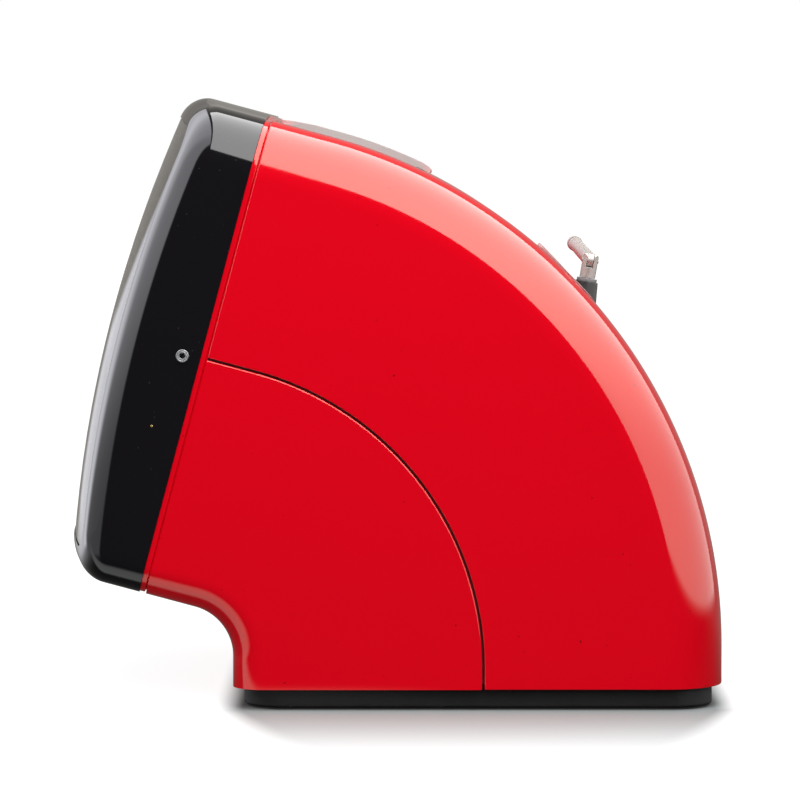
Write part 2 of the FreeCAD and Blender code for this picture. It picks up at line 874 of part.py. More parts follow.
bosses = []
boss_holes = []
for index, (x, z) in enumerate(boss_places, start=1):
    bosses.append(forward_rod(f"boss_{index}", d.boss_radius, boss_front_ahead - boss_back,
                              (x, -boss_back, z)))
    boss_holes.append(forward_rod(f"boss_hole_{index}", screw_hole_radius, d.screw_length,
                                  (x, d.hole_gap - boss_back, z)))
jack_frame = leaning + " * " + spot(half_width, -d.jack_ahead, d.jack_up, axis=(0, 1, 0), angle=90)
jack_hole = rod("jack_hole", d.jack_barrel_radius + d.hole_gap, d.bezel_wall * 4, (0, 0, -d.bezel_wall * 2),
                jack_frame)
bezel_frame = cut("bezel_frame", bezel_block, bezel_void, filter_rebate, screen_opening, jack_hole)
keep("front_bezel", cut("front_bezel", fuse("bezel_bossed", bezel_frame, *bosses), *boss_holes))

# Smoked filter panel, domed like the bezel's face
keep("screen_filter", filter_block("screen_filter", 0, d.filter_sink, filter_back))

# Earphone jack and its ring nut in the bezel's side
jack_inside = d.bezel_wall + d.jack_length
jack_flange_low = -d.bezel_wall - d.jack_flange
jack_body = fuse(
    "jack_body",
    rod("jack_barrel", d.jack_barrel_radius, jack_inside + d.jack_nut_height, (0, 0, -jack_inside),
        jack_frame),
    rod("jack_flange_disc", d.jack_flange_radius, d.jack_flange, (0, 0, jack_flange_low), jack_frame),
)
jack_bore = rod("jack_bore", d.jack_bore_radius, d.jack_bore_depth + d.jack_nut_height,
                (0, 0, d.jack_nut_height - d.jack_bore_depth), jack_frame)
keep("earphone_jack", cut("earphone_jack", jack_body, jack_bore))
keep("jack_nut", cut(
    "jack_nut",
    rod("nut_disc", d.jack_nut_radius, d.jack_nut_height, (0, 0, 0), jack_frame),
    rod("nut_hole", d.jack_barrel_radius + d.running_gap, d.jack_nut_height * 4, (0, 0, -d.jack_nut_height),
        jack_frame),
))

# Picture tube: domed face and skirt, a lofted funnel and a straight neck, hollow
tube_front_sink = d.bezel_front + d.free_gap
tube_front = face_apex - tube_front_sink
neck_end = tube_front - d.tube_length
funnel_end = d.tube_skirt_ahead - d.funnel_length


def tube_form(name, inset):
    half_x = tube_half_width - inset
    half_z = tube_half_height - inset
    corner = d.tube_corner - inset
    neck = d.neck_radius - inset / 2
    skirt = d.tube_skirt_ahead
    body = new_body(name)
    face = new_sketch(body, "XZ_Plane", skirt)
    outline(face, *screen_outline(half_x, half_z, corner))
    pad(body, face, d.face_depth * 2)
    dome_groove(body, tube_front_sink + inset * 2, ahead=True)
    flat = d.hole_gap
    sections = []
    funnel_steps = [
        (0, 1),
        (d.funnel_waist_share, d.funnel_waist_spread),
        (d.funnel_throat_share, d.funnel_throat_spread),
        (1, 0),
    ]
    for share, spread in funnel_steps:
        section = new_sketch(body, "XZ_Plane", skirt - d.funnel_length * share)
        across = neck + (half_x - neck) * spread + flat
        upright = neck + (half_z - neck) * spread + flat
        round_share = 1 - spread
        bend = corner * spread + neck * round_share
        outline(section, *screen_outline(across, upright, bend))
        sections.append(section)
    funnel = body.newObject("PartDesign::AdditiveLoft", name + "_funnel")
    funnel.Profile = sections[0]
    funnel.Sections = sections[1:]
    funnel.Ruled = False
    stem = new_sketch(body, "XZ_Plane", funnel_end)
    disc(stem, neck)
    pad(body, stem, funnel_end - neck_end - inset, reverse=True)
    put(body, facing)
    return body


tube_outside = tube_form("tube_outside", zero)
tube_inside = tube_form("tube_inside", d.tube_glass)
keep("picture_tube", cut("picture_tube", tube_outside, tube_inside))

# Steel band round the tube's skirt, with corner lugs screwed to the bezel's bosses
band_back = boss_back - d.band_thickness - d.band_width / 2


def band_block(name, grow, back, length):
    body = new_body(name)
    sketch = new_sketch(body, "XZ_Plane", back)
    outline(sketch, *screen_outline(tube_half_width + grow, tube_half_height + grow, d.tube_corner + grow))
    pad(body, sketch, length)
    put(body, facing)
    return body


band_inner = band_block("band_inner", d.hole_gap, band_back - d.band_width, d.band_width * 3)
band_outer = band_block("band_outer", d.hole_gap + d.band_thickness, band_back, d.band_width)
lugs = []
tube_screws = []
lug_holes = []
lug_low_x = tube_half_width - d.tube_corner * d.lug_root_share
lug_low_z = tube_half_height - d.tube_corner * d.lug_root_share
lug_x = boss_x + d.boss_radius - lug_low_x
lug_z = boss_rise + d.boss_radius - lug_low_z
head_at = boss_back - d.band_thickness
for index, (x, z) in enumerate(boss_places, start=1):
    corner_x = lug_low_x if x.value > 0 else -lug_low_x - lug_x
    corner_z = lug_low_z if z.value > 0 else -lug_low_z - lug_z
    lugs.append(box(f"lug_{index}", lug_x, d.band_thickness, lug_z, (corner_x, -boss_back, corner_z), facing))
    lug_holes.append(forward_rod(f"lug_hole_{index}", screw_hole_radius, d.band_width,
                                 (x, d.band_width / 2 - boss_back, z)))
    tube_screws.append(fuse(
        f"tube_screw_{index}",
        forward_rod(f"tube_screw_head_{index}", d.screw_head_radius, d.screw_head_height,
                    (x, d.screw_head_height - head_at, z)),
        forward_rod(f"tube_screw_stem_{index}", d.screw_radius, d.screw_length, (x, -head_at, z)),
    ))
band_lugged = fuse("band_lugged", band_outer, *lugs)
keep("tube_band", cut("tube_band", band_lugged, band_inner, *lug_holes))
keep("tube_screws", group("tube_screws", tube_screws))

# Anode cap, seated on the funnel's upper side
cap_rise = d.neck_radius + (tube_half_height - d.neck_radius) * d.cap_seat_share
cap_block = rod("cap_block", d.cap_radius, cap_rise + d.cap_height,
                (-d.cap_x, d.funnel_length * d.cap_back_share - d.tube_skirt_ahead, 0), facing)
keep("anode_cap", cut("anode_cap", cap_block, tube_outside))

# Deflection yoke, clamp, magnets, socket and board on the neck
neck_gap = d.neck_radius + d.running_gap
yoke_start = -funnel_end
yoke_mid = yoke_start + d.yoke_length / 3
yoke_end = yoke_start + d.yoke_length
keep("yoke_coils", put(turned("yoke_coils", [
    (yoke_start, d.yoke_radius), (yoke_mid, neck_gap), (yoke_end, neck_gap),
    (yoke_end, neck_gap + d.yoke_wall), (yoke_mid, neck_gap + d.yoke_wall),
    (yoke_start, d.yoke_radius + d.yoke_wall),
]), facing))
core_inner = neck_gap + d.yoke_wall + d.hole_gap
keep("yoke_core", put(turned("yoke_core", ring_points(
    yoke_end - d.core_width, yoke_end - d.clamp_width / 2, core_inner, core_inner + d.yoke_wall,
)), facing))
clamp_start = yoke_end + d.hole_gap
clamp_end = clamp_start + d.clamp_width
keep("yoke_clamp", put(turned("yoke_clamp", ring_points(
    clamp_start, clamp_end, neck_gap, neck_gap + d.yoke_wall,
)), facing))
magnets = []
for index in range(2):
    start = clamp_end + d.magnet_width + d.magnet_pitch * index
    magnets.append(put(turned(f"neck_magnet_{index + 1}", ring_points(
        start, start + d.magnet_width, neck_gap, d.neck_radius + d.yoke_wall,
    )), facing))
keep("neck_magnets", group("neck_magnets", magnets))
socket_start = -neck_end - d.clamp_width
socket_end = -neck_end + d.clamp_width / 2
keep("neck_socket", put(turned("neck_socket", [
    (socket_start, neck_gap), (-neck_end + d.hole_gap, neck_gap), (-neck_end + d.hole_gap, zero),
    (socket_end, zero), (socket_end, d.neck_radius + d.yoke_wall / 2),
    (socket_start, d.neck_radius + d.yoke_wall / 2),
]), facing))
keep("neck_board", box(
    "neck_board", d.neck_board_size, d.board_thickness, d.neck_board_size,
    (-d.neck_board_size / 2, socket_end, -d.neck_board_size / 2), facing,
))

# Plinth: an open-bottomed base with bosses for the rubber feet
plinth_side = half_width - d.plinth_inset
plinth_front = d.leg_front_y + d.plinth_inset
plinth_rear = rear_y - d.plinth_inset


def plinth_block(name, inset, low, height):
    body = new_body(name)
    sketch = new_sketch(body, "XY_Plane", low)
    corner = d.plinth_corner - inset
    outline(sketch, *rounded_box(inset - plinth_side, plinth_side - inset, plinth_front + inset,
                                 plinth_rear - inset, corner, corner))
    return body, pad(body, sketch, height)


plinth_outside, plinth_pad = plinth_block("plinth_outside", 0, d.floor_gap, d.plinth_height - d.floor_gap)
doc.recompute()


def at_floor(edge):
    return all(abs(vertex.Z - d.floor_gap.value) < NEAR for vertex in edge.Vertexes)


plinth_bevel = plinth_outside.newObject("PartDesign::Chamfer", "plinth_bevel")
plinth_bevel.Base = (plinth_pad, edges_where(plinth_pad, at_floor))
bind(plinth_bevel, "Size", d.plinth_chamfer)
plinth_room, _ = plinth_block("plinth_room", d.plinth_wall, 0, d.plinth_height - d.plinth_wall)
foot_places = [
    (x * (plinth_side - d.foot_inset), y)
    for x in (-1, 1) for y in (plinth_front + d.foot_inset, plinth_rear - d.foot_inset)
]
foot_bosses = []
feet = []
for index, (x, y) in enumerate(foot_places, start=1):
    foot_bosses.append(rod(f"foot_boss_{index}", d.foot_radius + d.plinth_wall / 2,
                           d.plinth_height - d.plinth_wall - d.foot_height, (x, y, d.foot_height)))
    foot = turned(f"foot_{index}", [
        (zero, zero), (d.foot_height, zero), (d.foot_height, d.foot_radius),
        (zero, d.foot_radius - d.floor_gap),
    ])
    feet.append(put(foot, spot(x, y, 0, angle=90)))
plinth_tray = fuse("plinth_tray", cut("plinth_hollow", plinth_outside, plinth_room), *foot_bosses)
keep("plinth", cut("plinth", plinth_tray, screw_hole_group))
keep("rubber_feet", group("rubber_feet", feet))

# Control tray: a recess in the top, flush with the cover, with a flat floor that carries the controls
slider_names = ["volume", "brightness", "contrast"]
slider_places = [-d.slider_x - d.slider_pitch * index for index in range(len(slider_names))]
PROGRAM_BUTTONS = 4
button_names = [f"program_button_{index + 1}" for index in range(PROGRAM_BUTTONS)] + ["power_button"]
button_places = [d.button_front_y + d.button_pitch * index for index in range(len(button_names))]
post_places = [-d.post_front, d.post_rear]
slider_run = d.slider_stem_length + 2 * (d.slider_travel + d.free_gap)
slider_slot_width = d.slider_stem_width + 2 * d.free_gap
wheel_up = tray_high + d.wheel_rise - d.wheel_radius
wheel_chord = root(squared(d.wheel_radius) - squared(tray_low - wheel_up)) + 2 * d.free_gap
tray_cuts = [tray_block("tray_pocket", -d.tray_wall, tray_high, d.back_radius + d.tray_depth)]


def tray_hole(name, width, length, x, y, low=tray_low, high=tray_high):
    """A block-shaped hole through the tray's floor, about its middle."""
    depth = high - low
    return box(name, width, length, depth + 2 * d.hole_gap,
               (x - width / 2, y - length / 2, low - d.hole_gap), leaning)


for index, x in enumerate(slider_places, start=1):
    tray_cuts.append(tray_hole(f"slider_hole_{index}", slider_slot_width, slider_run, x, d.slider_y))
for index, y in enumerate(button_places, start=1):
    tray_cuts.append(tray_hole(f"button_hole_{index}", d.button_width + 2 * d.free_gap,
                               d.button_length + 2 * d.free_gap, d.button_x, y))
tray_cuts.append(tray_hole("wheel_hole", d.wheel_width + 4 * d.free_gap, 2 * wheel_chord, d.wheel_x,
                           d.slider_y))
for index, y in enumerate(post_places, start=1):
    tray_cuts.append(rod(f"bush_hole_{index}", d.bush_radius + d.hole_gap, d.tray_depth,
                         (0, y, tray_low - d.tray_floor), leaning))
tray_solid = common(
    "tray_solid", tray_block("tray_outside", 0, tray_low, d.back_radius + d.tray_depth), cabinet_outside,
)
keep("control_tray", cut("control_tray", tray_solid, *tray_cuts))

# Carry handle: a metal strap that follows the top, lifted on two posts in bushes
strap_inner = d.back_radius + d.free_gap
strap_outer = strap_inner + d.strap_thickness
strap_sin = sine(d.strap_angle)
strap_cos = cosine(d.strap_angle)
strap = new_body("handle_strap")
strap_sketch = new_sketch(strap, "YZ_Plane")
outline(strap_sketch, [
    (-d.strap_ahead, strap_outer), (zero, strap_outer), (strap_outer * strap_sin, strap_outer * strap_cos),
    (strap_inner * strap_sin, strap_inner * strap_cos), (zero, strap_inner), (-d.strap_ahead, strap_inner),
], {1: (zero, zero), 3: (zero, zero)})
strap_pad = pad(strap, strap_sketch, d.strap_width, symmetric=True)
doc.recompute()


def strap_corner(edge):
    return abs(edge.Length - d.strap_thickness.value) < NEAR


fillet(strap, strap_pad, edges_where(strap_pad, strap_corner), d.strap_end_round)
keep("handle_strap", put(strap, leaning))
bush_low = tray_high - d.bush_length
clip_high = bush_low - d.handle_lift - d.free_gap
post_low = clip_high - d.clip_thickness * 2
posts = []
clips = []
bushes = []
for index, y in enumerate(post_places, start=1):
    top = strap_inner if index == 1 else root(squared(strap_inner) - squared(y)) + d.free_gap
    stem = rod(f"post_stem_{index}", d.post_radius, top - post_low, (0, y, post_low), leaning)
    posts.append(cut(f"handle_post_{index}", stem, strap))
    ring = spot(0, y, 0, angle=90)
    clip = turned(f"clip_{index}", ring_points(
        clip_high - d.clip_thickness, clip_high, d.post_radius + d.running_gap, d.clip_radius,
    ))
    clips.append(put(clip, leaning, ring))
    bore = d.post_radius + d.running_gap
    flange_high = tray_high + d.bush_flange
    bush = turned(f"bush_{index}", [
        (bush_low, bore), (flange_high, bore), (flange_high, d.bush_flange_radius),
        (tray_high, d.bush_flange_radius), (tray_high, d.bush_radius), (bush_low, d.bush_radius),
    ])
    bushes.append(put(bush, leaning, ring))
keep("handle_posts", group("handle_posts", posts))
keep("handle_clips", group("handle_clips", clips))
keep("handle_bushes", group("handle_bushes", bushes))

# Sliders for volume, brightness and contrast, each in its own slot over its own potentiometer
pots = []
for index, (label, x) in enumerate(zip(slider_names, slider_places), start=1):
    cap = new_body(f"{label}_cap")
    cap_sketch = new_sketch(cap, "YZ_Plane")
    half = d.slider_cap_length / 2
    shoulder = half * d.slider_top_share
    dip = half * d.slider_dip_share
    outline(cap_sketch, [
        (-half, zero), (half, zero), (shoulder, d.slider_cap_height), (dip, d.slider_dip_height),
        (-dip, d.slider_dip_height), (-shoulder, d.slider_cap_height),
    ])
    pad(cap, cap_sketch, d.slider_cap_width, symmetric=True)
    put(cap, leaning, spot(x, d.slider_y, tray_high + d.free_gap))
    stem = box(f"{label}_stem", d.slider_stem_width, d.slider_stem_length, d.slider_stem_depth + d.free_gap,
               (x - d.slider_stem_width / 2, d.slider_y - d.slider_stem_length / 2,
                tray_high - d.slider_stem_depth), leaning)
    keep(f"{label}_slider", fuse(f"{label}_slider", cap, stem))
    case = tray_hole(f"pot_case_{index}", d.pot_width, d.pot_length, x, d.slider_y,
                     tray_low - d.pot_height, tray_low - d.hole_gap)
    well = tray_hole(f"pot_well_{index}", slider_slot_width, slider_run, x, d.slider_y,
                     tray_high - d.slider_stem_depth - d.free_gap, tray_low)
    pots.append(cut(f"slider_pot_{index}", case, well))
keep("slider_pots", group("slider_pots", pots))

# Push buttons over one bank of switches
bank_low = tray_low - d.switch_height
bank_front = button_places[0] - d.button_length / 2 - d.switch_margin
bank_length = d.button_pitch * (len(button_names) - 1) + d.button_length + 2 * d.switch_margin
bank_width = d.button_width + 2 * d.switch_margin
bank_block = box("bank_block", bank_width, bank_length, d.switch_height,
                 (d.button_x - bank_width / 2, bank_front, bank_low), leaning)
button_low = tray_high - d.tray_floor / 2
wells = []
for label, y in zip(button_names, button_places):
    cap = new_body(f"{label}_cap")
    cap_sketch = new_sketch(cap, "XY_Plane")
    outline(cap_sketch, *rounded_box(-d.button_width / 2, d.button_width / 2, -d.button_length / 2,
                                     d.button_length / 2, d.button_round, d.button_round))
    pad(cap, cap_sketch, d.button_height + d.tray_floor / 2)
    put(cap, leaning, spot(d.button_x, y, button_low))
    stem = box(f"{label}_stem", d.button_stem, d.button_stem, d.button_stem_depth,
               (d.button_x - d.button_stem / 2, y - d.button_stem / 2, button_low - d.button_stem_depth),
               leaning)
    keep(label, fuse(label, cap, stem))
    wells.append(tray_hole(f"{label}_well", d.button_width + 2 * d.free_gap, d.button_length + 2 * d.free_gap,
                           d.button_x, y, button_low - d.button_travel - d.free_gap, tray_low))
    stem_room = d.button_stem + 2 * d.free_gap
    wells.append(tray_hole(f"{label}_shaft", stem_room, stem_room, d.button_x, y,
                           button_low - d.button_stem_depth - d.button_travel - d.free_gap, tray_low))
keep("switch_bank", cut("switch_bank", bank_block, *wells))

# Tuning thumbwheel on its shaft, which turns in the tuner under the tray
wheel_frame = leaning + " * " + spot(d.wheel_x, d.slider_y, wheel_up)
wheel = new_body("tuning_wheel")
wheel_sketch = new_sketch(wheel, "YZ_Plane")
disc(wheel_sketch, d.wheel_radius)
disc(wheel_sketch, d.shaft_radius + d.running_gap)
pad(wheel, wheel_sketch, d.wheel_width, symmetric=True)
doc.recompute()
notch_sketch = new_sketch(wheel, "YZ_Plane")
disc(notch_sketch, d.wheel_notch, (d.wheel_radius, zero))
notch = wheel.newObject("PartDesign::Pocket", "wheel_notch_cut")
notch.Profile = notch_sketch
notch.SideType = "Symmetric"
bind(notch, "Length", d.wheel_width * 2)
doc.recompute()
notches = wheel.newObject("PartDesign::PolarPattern", "wheel_notches")
notches.Originals = [notch]
notches.Axis = ([item for item in wheel.Origin.OriginFeatures if item.Role == "X_Axis"][0], [""])
notches.Angle = 360
bind(notches, "Occurrences", d.wheel_notches)
wheel.Tip = notches
keep("tuning_wheel", put(wheel, wheel_frame))
shaft_start = -d.wheel_width / 2
tuner_start = d.wheel_width / 2 + 2 * d.free_gap
keep("tuning_shaft", rod("tuning_shaft", d.shaft_radius, tuner_start - shaft_start + d.shaft_reach,
                         (shaft_start, 0, 0), wheel_frame, axis=(0, 1, 0), angle=90))
tuner_block = box("tuner_block", d.tuner_width, d.tuner_length, d.tuner_height,
                  (d.wheel_x + tuner_start, d.slider_y - d.tuner_length / 2, tray_low - d.tuner_height),
                  leaning)
tuner_bore = rod("tuner_bore", d.shaft_radius + d.running_gap, d.shaft_reach * 2 + d.free_gap,
                 (tuner_start - d.shaft_reach, 0, 0), wheel_frame, axis=(0, 1, 0), angle=90)
keep("tuner_box", cut("tuner_box", tuner_block, tuner_bore))

# Aerial: escutcheon plate, socket, swivelling post with its pin, and four telescoping sections
plate_inner = d.back_radius + d.hole_gap
plate_outer = plate_inner + d.plate_thickness
plate_ahead = -sine(d.plate_ahead_angle), cosine(d.plate_ahead_angle)
plate_behind = sine(d.plate_behind_angle), cosine(d.plate_behind_angle)
plate = new_body("plate_solid")
plate_sketch = new_sketch(plate, "YZ_Plane")
outline(plate_sketch, [
    tuple(plate_outer * part for part in plate_ahead), tuple(plate_outer * part for part in plate_behind),
    tuple(plate_inner * part for part in plate_behind), tuple(plate_inner * part for part in plate_ahead),
], {0: (zero, zero), 2: (zero, zero)})
plate_pad = pad(plate, plate_sketch, d.plate_width, symmetric=True)
doc.recompute()


def plate_corner(edge):
    return abs(edge.Length - d.plate_thickness.value) < NEAR


fillet(plate, plate_pad, edges_where(plate_pad, plate_corner), d.plate_corner)
put(plate, spot(aerial_x, d.back_centre_y, d.back_centre_z, angle=-d.aerial_angle))
keep("antenna_plate", cut("antenna_plate", plate, socket_hole))

post_bore = rod("post_bore", d.spigot_radius + d.running_gap, d.spigot_depth * 2,
                (0, 0, d.socket_rise - d.spigot_depth - d.free_gap), aerial)
keep("antenna_socket", cut("antenna_socket", socket_cone("socket_solid", 0), post_bore))

collar_low = d.socket_rise + d.hole_gap
knuckle_top = d.knuckle_rise + d.knuckle_radius
slot_low = d.knuckle_rise - d.knuckle_radius - d.free_gap
post_column = fuse(
    "post_column",
    rod("post_spigot", d.spigot_radius, d.spigot_depth + d.hole_gap, (0, 0, collar_low - d.spigot_depth),
        aerial),
    rod("post_collar", d.aerial_post_radius, knuckle_top - collar_low, (0, 0, collar_low), aerial),
)
knuckle_span = d.aerial_post_radius * 4
knuckle_slot = box("knuckle_slot", knuckle_span, d.knuckle_slot, knuckle_span,
                   (-knuckle_span / 2, -d.knuckle_slot / 2, slot_low), aerial)
knuckle_keep = fuse(
    "knuckle_keep",
    box("knuckle_below", knuckle_span, knuckle_span, d.knuckle_rise + d.spigot_depth,
        (-knuckle_span / 2, -knuckle_span / 2, -d.spigot_depth), aerial),
    rod("knuckle_round", d.aerial_post_radius, knuckle_span, (0, knuckle_span / 2, d.knuckle_rise), aerial,
        axis=(1, 0, 0), angle=90),
)
pin_hole = rod("pin_hole", d.pin_radius + d.running_gap, knuckle_span, (0, knuckle_span / 2, d.knuckle_rise),
               aerial, axis=(1, 0, 0), angle=90)
post_fork = common("post_fork", post_column, knuckle_keep)
keep("antenna_post", cut("antenna_post", post_fork, knuckle_slot, pin_hole))
pin_half = d.aerial_post_radius + d.free_gap
keep("antenna_pin", rod("antenna_pin", d.pin_radius, 2 * pin_half, (0, pin_half, d.knuckle_rise), aerial,
                        axis=(1, 0, 0), angle=90))

arm = aerial + " * " + spot(0, 0, d.knuckle_rise, axis=(0, 1, 0), angle=180 + d.rod_rise_angle)


def along_arm(name, radius, start, end):
    return rod(name, radius, end - start, (start, 0, 0), arm, axis=(0, 1, 0), angle=90)


rod_end = d.rod_start + d.rod_length
tongue_thick = d.knuckle_slot - 2 * d.free_gap
eye = rod("arm_eye", d.knuckle_radius, tongue_thick, (0, tongue_thick / 2, 0), arm, axis=(1, 0, 0), angle=90)
neck = box("arm_neck", d.rod_start + d.rod_plug / 2, tongue_thick, d.knuckle_radius,
           (0, -tongue_thick / 2, -d.knuckle_radius / 2), arm)
eye_hole = rod("eye_hole", d.pin_radius + d.running_gap, knuckle_span, (0, knuckle_span / 2, 0), arm,
               axis=(1, 0, 0), angle=90)
arm_bore = along_arm("arm_bore", d.rod_radius - d.rod_tube_wall, d.rod_start + d.rod_plug,
                     rod_end + d.rod_plug)
arm_solid = fuse("arm_solid", eye, neck, along_arm("arm_tube", d.rod_radius, d.rod_start, rod_end))
keep("antenna_rod_1", cut("antenna_rod_1", arm_solid, eye_hole, arm_bore))
section_radius = d.rod_radius
LAST_SECTION = 4
for index in range(2, LAST_SECTION + 1):
    section_radius = section_radius - d.rod_tube_wall - d.free_gap
    start = d.rod_start + d.rod_plug + d.rod_step * index
    end = rod_end + d.rod_step * (index - 1)
    section = along_arm(f"section_{index}", section_radius, start, end)
    if index < LAST_SECTION:
        bore = along_arm(f"section_bore_{index}", section_radius - d.rod_tube_wall,
                         start + d.rod_step / 2, end + d.rod_step)
        section = cut(f"antenna_rod_{index}", section, bore)
    keep(f"antenna_rod_{index}", section)
tip_start = rod_end + d.rod_step * (LAST_SECTION - 1)
tip_end = tip_start + d.tip_length
tip = turned("antenna_tip", [
    (tip_start, zero), (tip_end, zero), (tip_end, d.tip_radius - d.tip_bevel),
    (tip_end - d.tip_bevel, d.tip_radius), (tip_start, d.tip_radius),
])
keep("antenna_tip", put(tip, arm, spot(axis=(0, 0, 1), angle=-90)))

# Chassis: a folded steel tray on the plinth, the main board on its flanges, and what the board carries
chassis_low = d.plinth_height
chassis = new_body("chassis_frame")
chassis_sketch = new_sketch(chassis, "XZ_Plane")
chassis_side = d.chassis_half_width
chassis_high = chassis_low + d.chassis_height
inner_side = chassis_side - d.chassis_sheet
outline(chassis_sketch, [
    (-chassis_side, chassis_low), (chassis_side, chassis_low), (chassis_side, chassis_high),
    (inner_side, chassis_high), (inner_side, chassis_low + d.chassis_sheet),
    (-inner_side, chassis_low + d.chassis_sheet), (-inner_side, chassis_high), (-chassis_side, chassis_high),
])
pad(chassis, chassis_sketch, d.chassis_length, reverse=True)
keep("chassis_frame", put(chassis, spot(0, d.chassis_front_y, 0)))
keep("main_board", box("main_board", 2 * chassis_side, d.board_length, d.board_thickness,
                       (-chassis_side, d.chassis_front_y, chassis_high)))
board_high = chassis_high + d.board_thickness
components = []
CAPACITORS = 4
COIL_CANS = 5
for index in range(CAPACITORS):
    x = d.capacitor_left_x + d.capacitor_pitch * index
    components.append(rod(f"capacitor_{index + 1}", d.capacitor_radius, d.capacitor_height,
                          (x, d.chassis_front_y + d.capacitor_row, board_high)))
for index in range(COIL_CANS):
    x = d.can_left_x + d.can_pitch * index
    components.append(box(f"coil_can_{index + 1}", d.can_size, d.can_size, d.can_height,
                          (x, d.chassis_front_y + d.can_row, board_high)))
keep("board_components", group("board_components", components))

# Mains transformer: laminated core with its winding, standing on the chassis
base_high = chassis_low + d.chassis_sheet
coil_depth = d.transformer_depth + 2 * d.coil_bulge
keep("power_transformer", fuse(
    "power_transformer",
    box("transformer_core", d.transformer_width, d.transformer_depth, d.transformer_height,
        (d.transformer_x - d.transformer_width / 2, d.transformer_y - d.transformer_depth / 2, base_high)),
    box("transformer_coil", d.coil_width, coil_depth, d.coil_height,
        (d.transformer_x - d.coil_width / 2, d.transformer_y - coil_depth / 2,
         base_high + (d.transformer_height - d.coil_height) / 2)),
))

# Flyback transformer: a ferrite ring core with a round winding on one limb
flyback_left = d.flyback_x - d.flyback_width / 2
flyback_back = d.transformer_y - d.flyback_limb / 2
flyback_room = d.flyback_width - 2 * d.flyback_limb
flyback_core = cut(
    "flyback_core",
    box("flyback_block", d.flyback_width, d.flyback_limb, d.flyback_height,
        (flyback_left, flyback_back, base_high)),
    box("flyback_window", flyback_room, d.flyback_limb * 2, d.flyback_height - 2 * d.flyback_limb,
        (flyback_left + d.flyback_limb, flyback_back - d.flyback_limb / 2, base_high + d.flyback_limb)),
)
flyback_coil = rod("flyback_coil", d.flyback_coil_radius, d.flyback_height - 2 * d.flyback_limb,
                   (flyback_left + d.flyback_limb / 2, d.transformer_y, base_high + d.flyback_limb))
keep("flyback_transformer", fuse("flyback_transformer", flyback_core, flyback_coil))

# Loudspeaker behind the grille: pressed basket, paper cone and magnet
speaker_frame = spot(d.cabinet_wall - half_width, speaker_y, speaker_z, axis=(0, 0, 1), angle=-90)
sheet = d.speaker_sheet
throat = d.speaker_throat
mouth = d.speaker_mouth
keep("speaker_frame", put(turned("speaker_frame", [
    (zero, mouth), (zero, d.speaker_radius), (sheet, d.speaker_radius), (sheet * 3, mouth),
    (d.speaker_depth, throat), (d.speaker_depth, d.basket_hole), (d.speaker_depth - sheet, d.basket_hole),
    (d.speaker_depth - sheet, throat - sheet), (sheet * 3, mouth - sheet * 1.5),
]), speaker_frame))
keep("speaker_cone", put(turned("speaker_cone", [
    (sheet, zero), (sheet * 2, zero), (d.cone_depth, d.cone_throat), (sheet * 2, mouth - sheet * 3),
    (sheet, mouth - sheet), (d.free_gap, mouth - sheet), (sheet, mouth - sheet * 4),
    (d.cone_depth - sheet, d.cone_throat),
]), speaker_frame))
keep("speaker_magnet", put(turned("speaker_magnet", [
    (d.speaker_depth, zero), (d.speaker_depth + d.magnet_depth, zero),
    (d.speaker_depth + d.magnet_depth, d.magnet_radius), (d.speaker_depth, d.magnet_radius),
]), speaker_frame))

# Mains inlet: a recessed two-pin socket behind the opening low in the back
inlet_face = rear_y - d.cabinet_wall - d.free_gap
inlet_outside = box(
    "inlet_outside", d.inlet_width + 2 * d.inlet_wall, d.inlet_depth + d.inlet_wall,
    d.inlet_height + 2 * d.inlet_wall,
    (d.inlet_x - d.inlet_width / 2 - d.inlet_wall, inlet_face - d.inlet_depth - d.inlet_wall,
     d.inlet_z - d.inlet_height / 2 - d.inlet_wall),
)
inlet_room = box(
    "inlet_room", d.inlet_width, d.inlet_depth * 2, d.inlet_height,
    (d.inlet_x - d.inlet_width / 2, inlet_face - d.inlet_depth, d.inlet_z - d.inlet_height / 2),
)
keep("mains_inlet", cut("mains_inlet", inlet_outside, inlet_room))
pins = [
    rod(f"inlet_pin_{index}", d.inlet_pin_radius, d.inlet_pin_length,
        (d.inlet_x + d.inlet_pin_pitch * side / 2, inlet_face - d.inlet_depth, d.inlet_z),
        axis=(1, 0, 0), angle=-90)
    for index, side in enumerate((-1, 1), start=1)
]
keep("inlet_pins", group("inlet_pins", pins))

# Check the whole document, then write one file for each sub-part
doc.recompute()
faults = [item.Name for item in doc.Objects if "Invalid" in item.State or "Error" in item.State]
faults += [item.Label for item in parts if item.Shape.isNull() or not item.Shape.isValid()]
if faults:
    raise RuntimeError("failed objects: " + ", ".join(faults))
os.makedirs("parts", exist_ok=True)
for item in parts:
    item.Shape.exportStep(f"parts/{item.Label}.step")
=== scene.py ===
import math

import bmesh
import bpy
from mathutils import Matrix, Vector


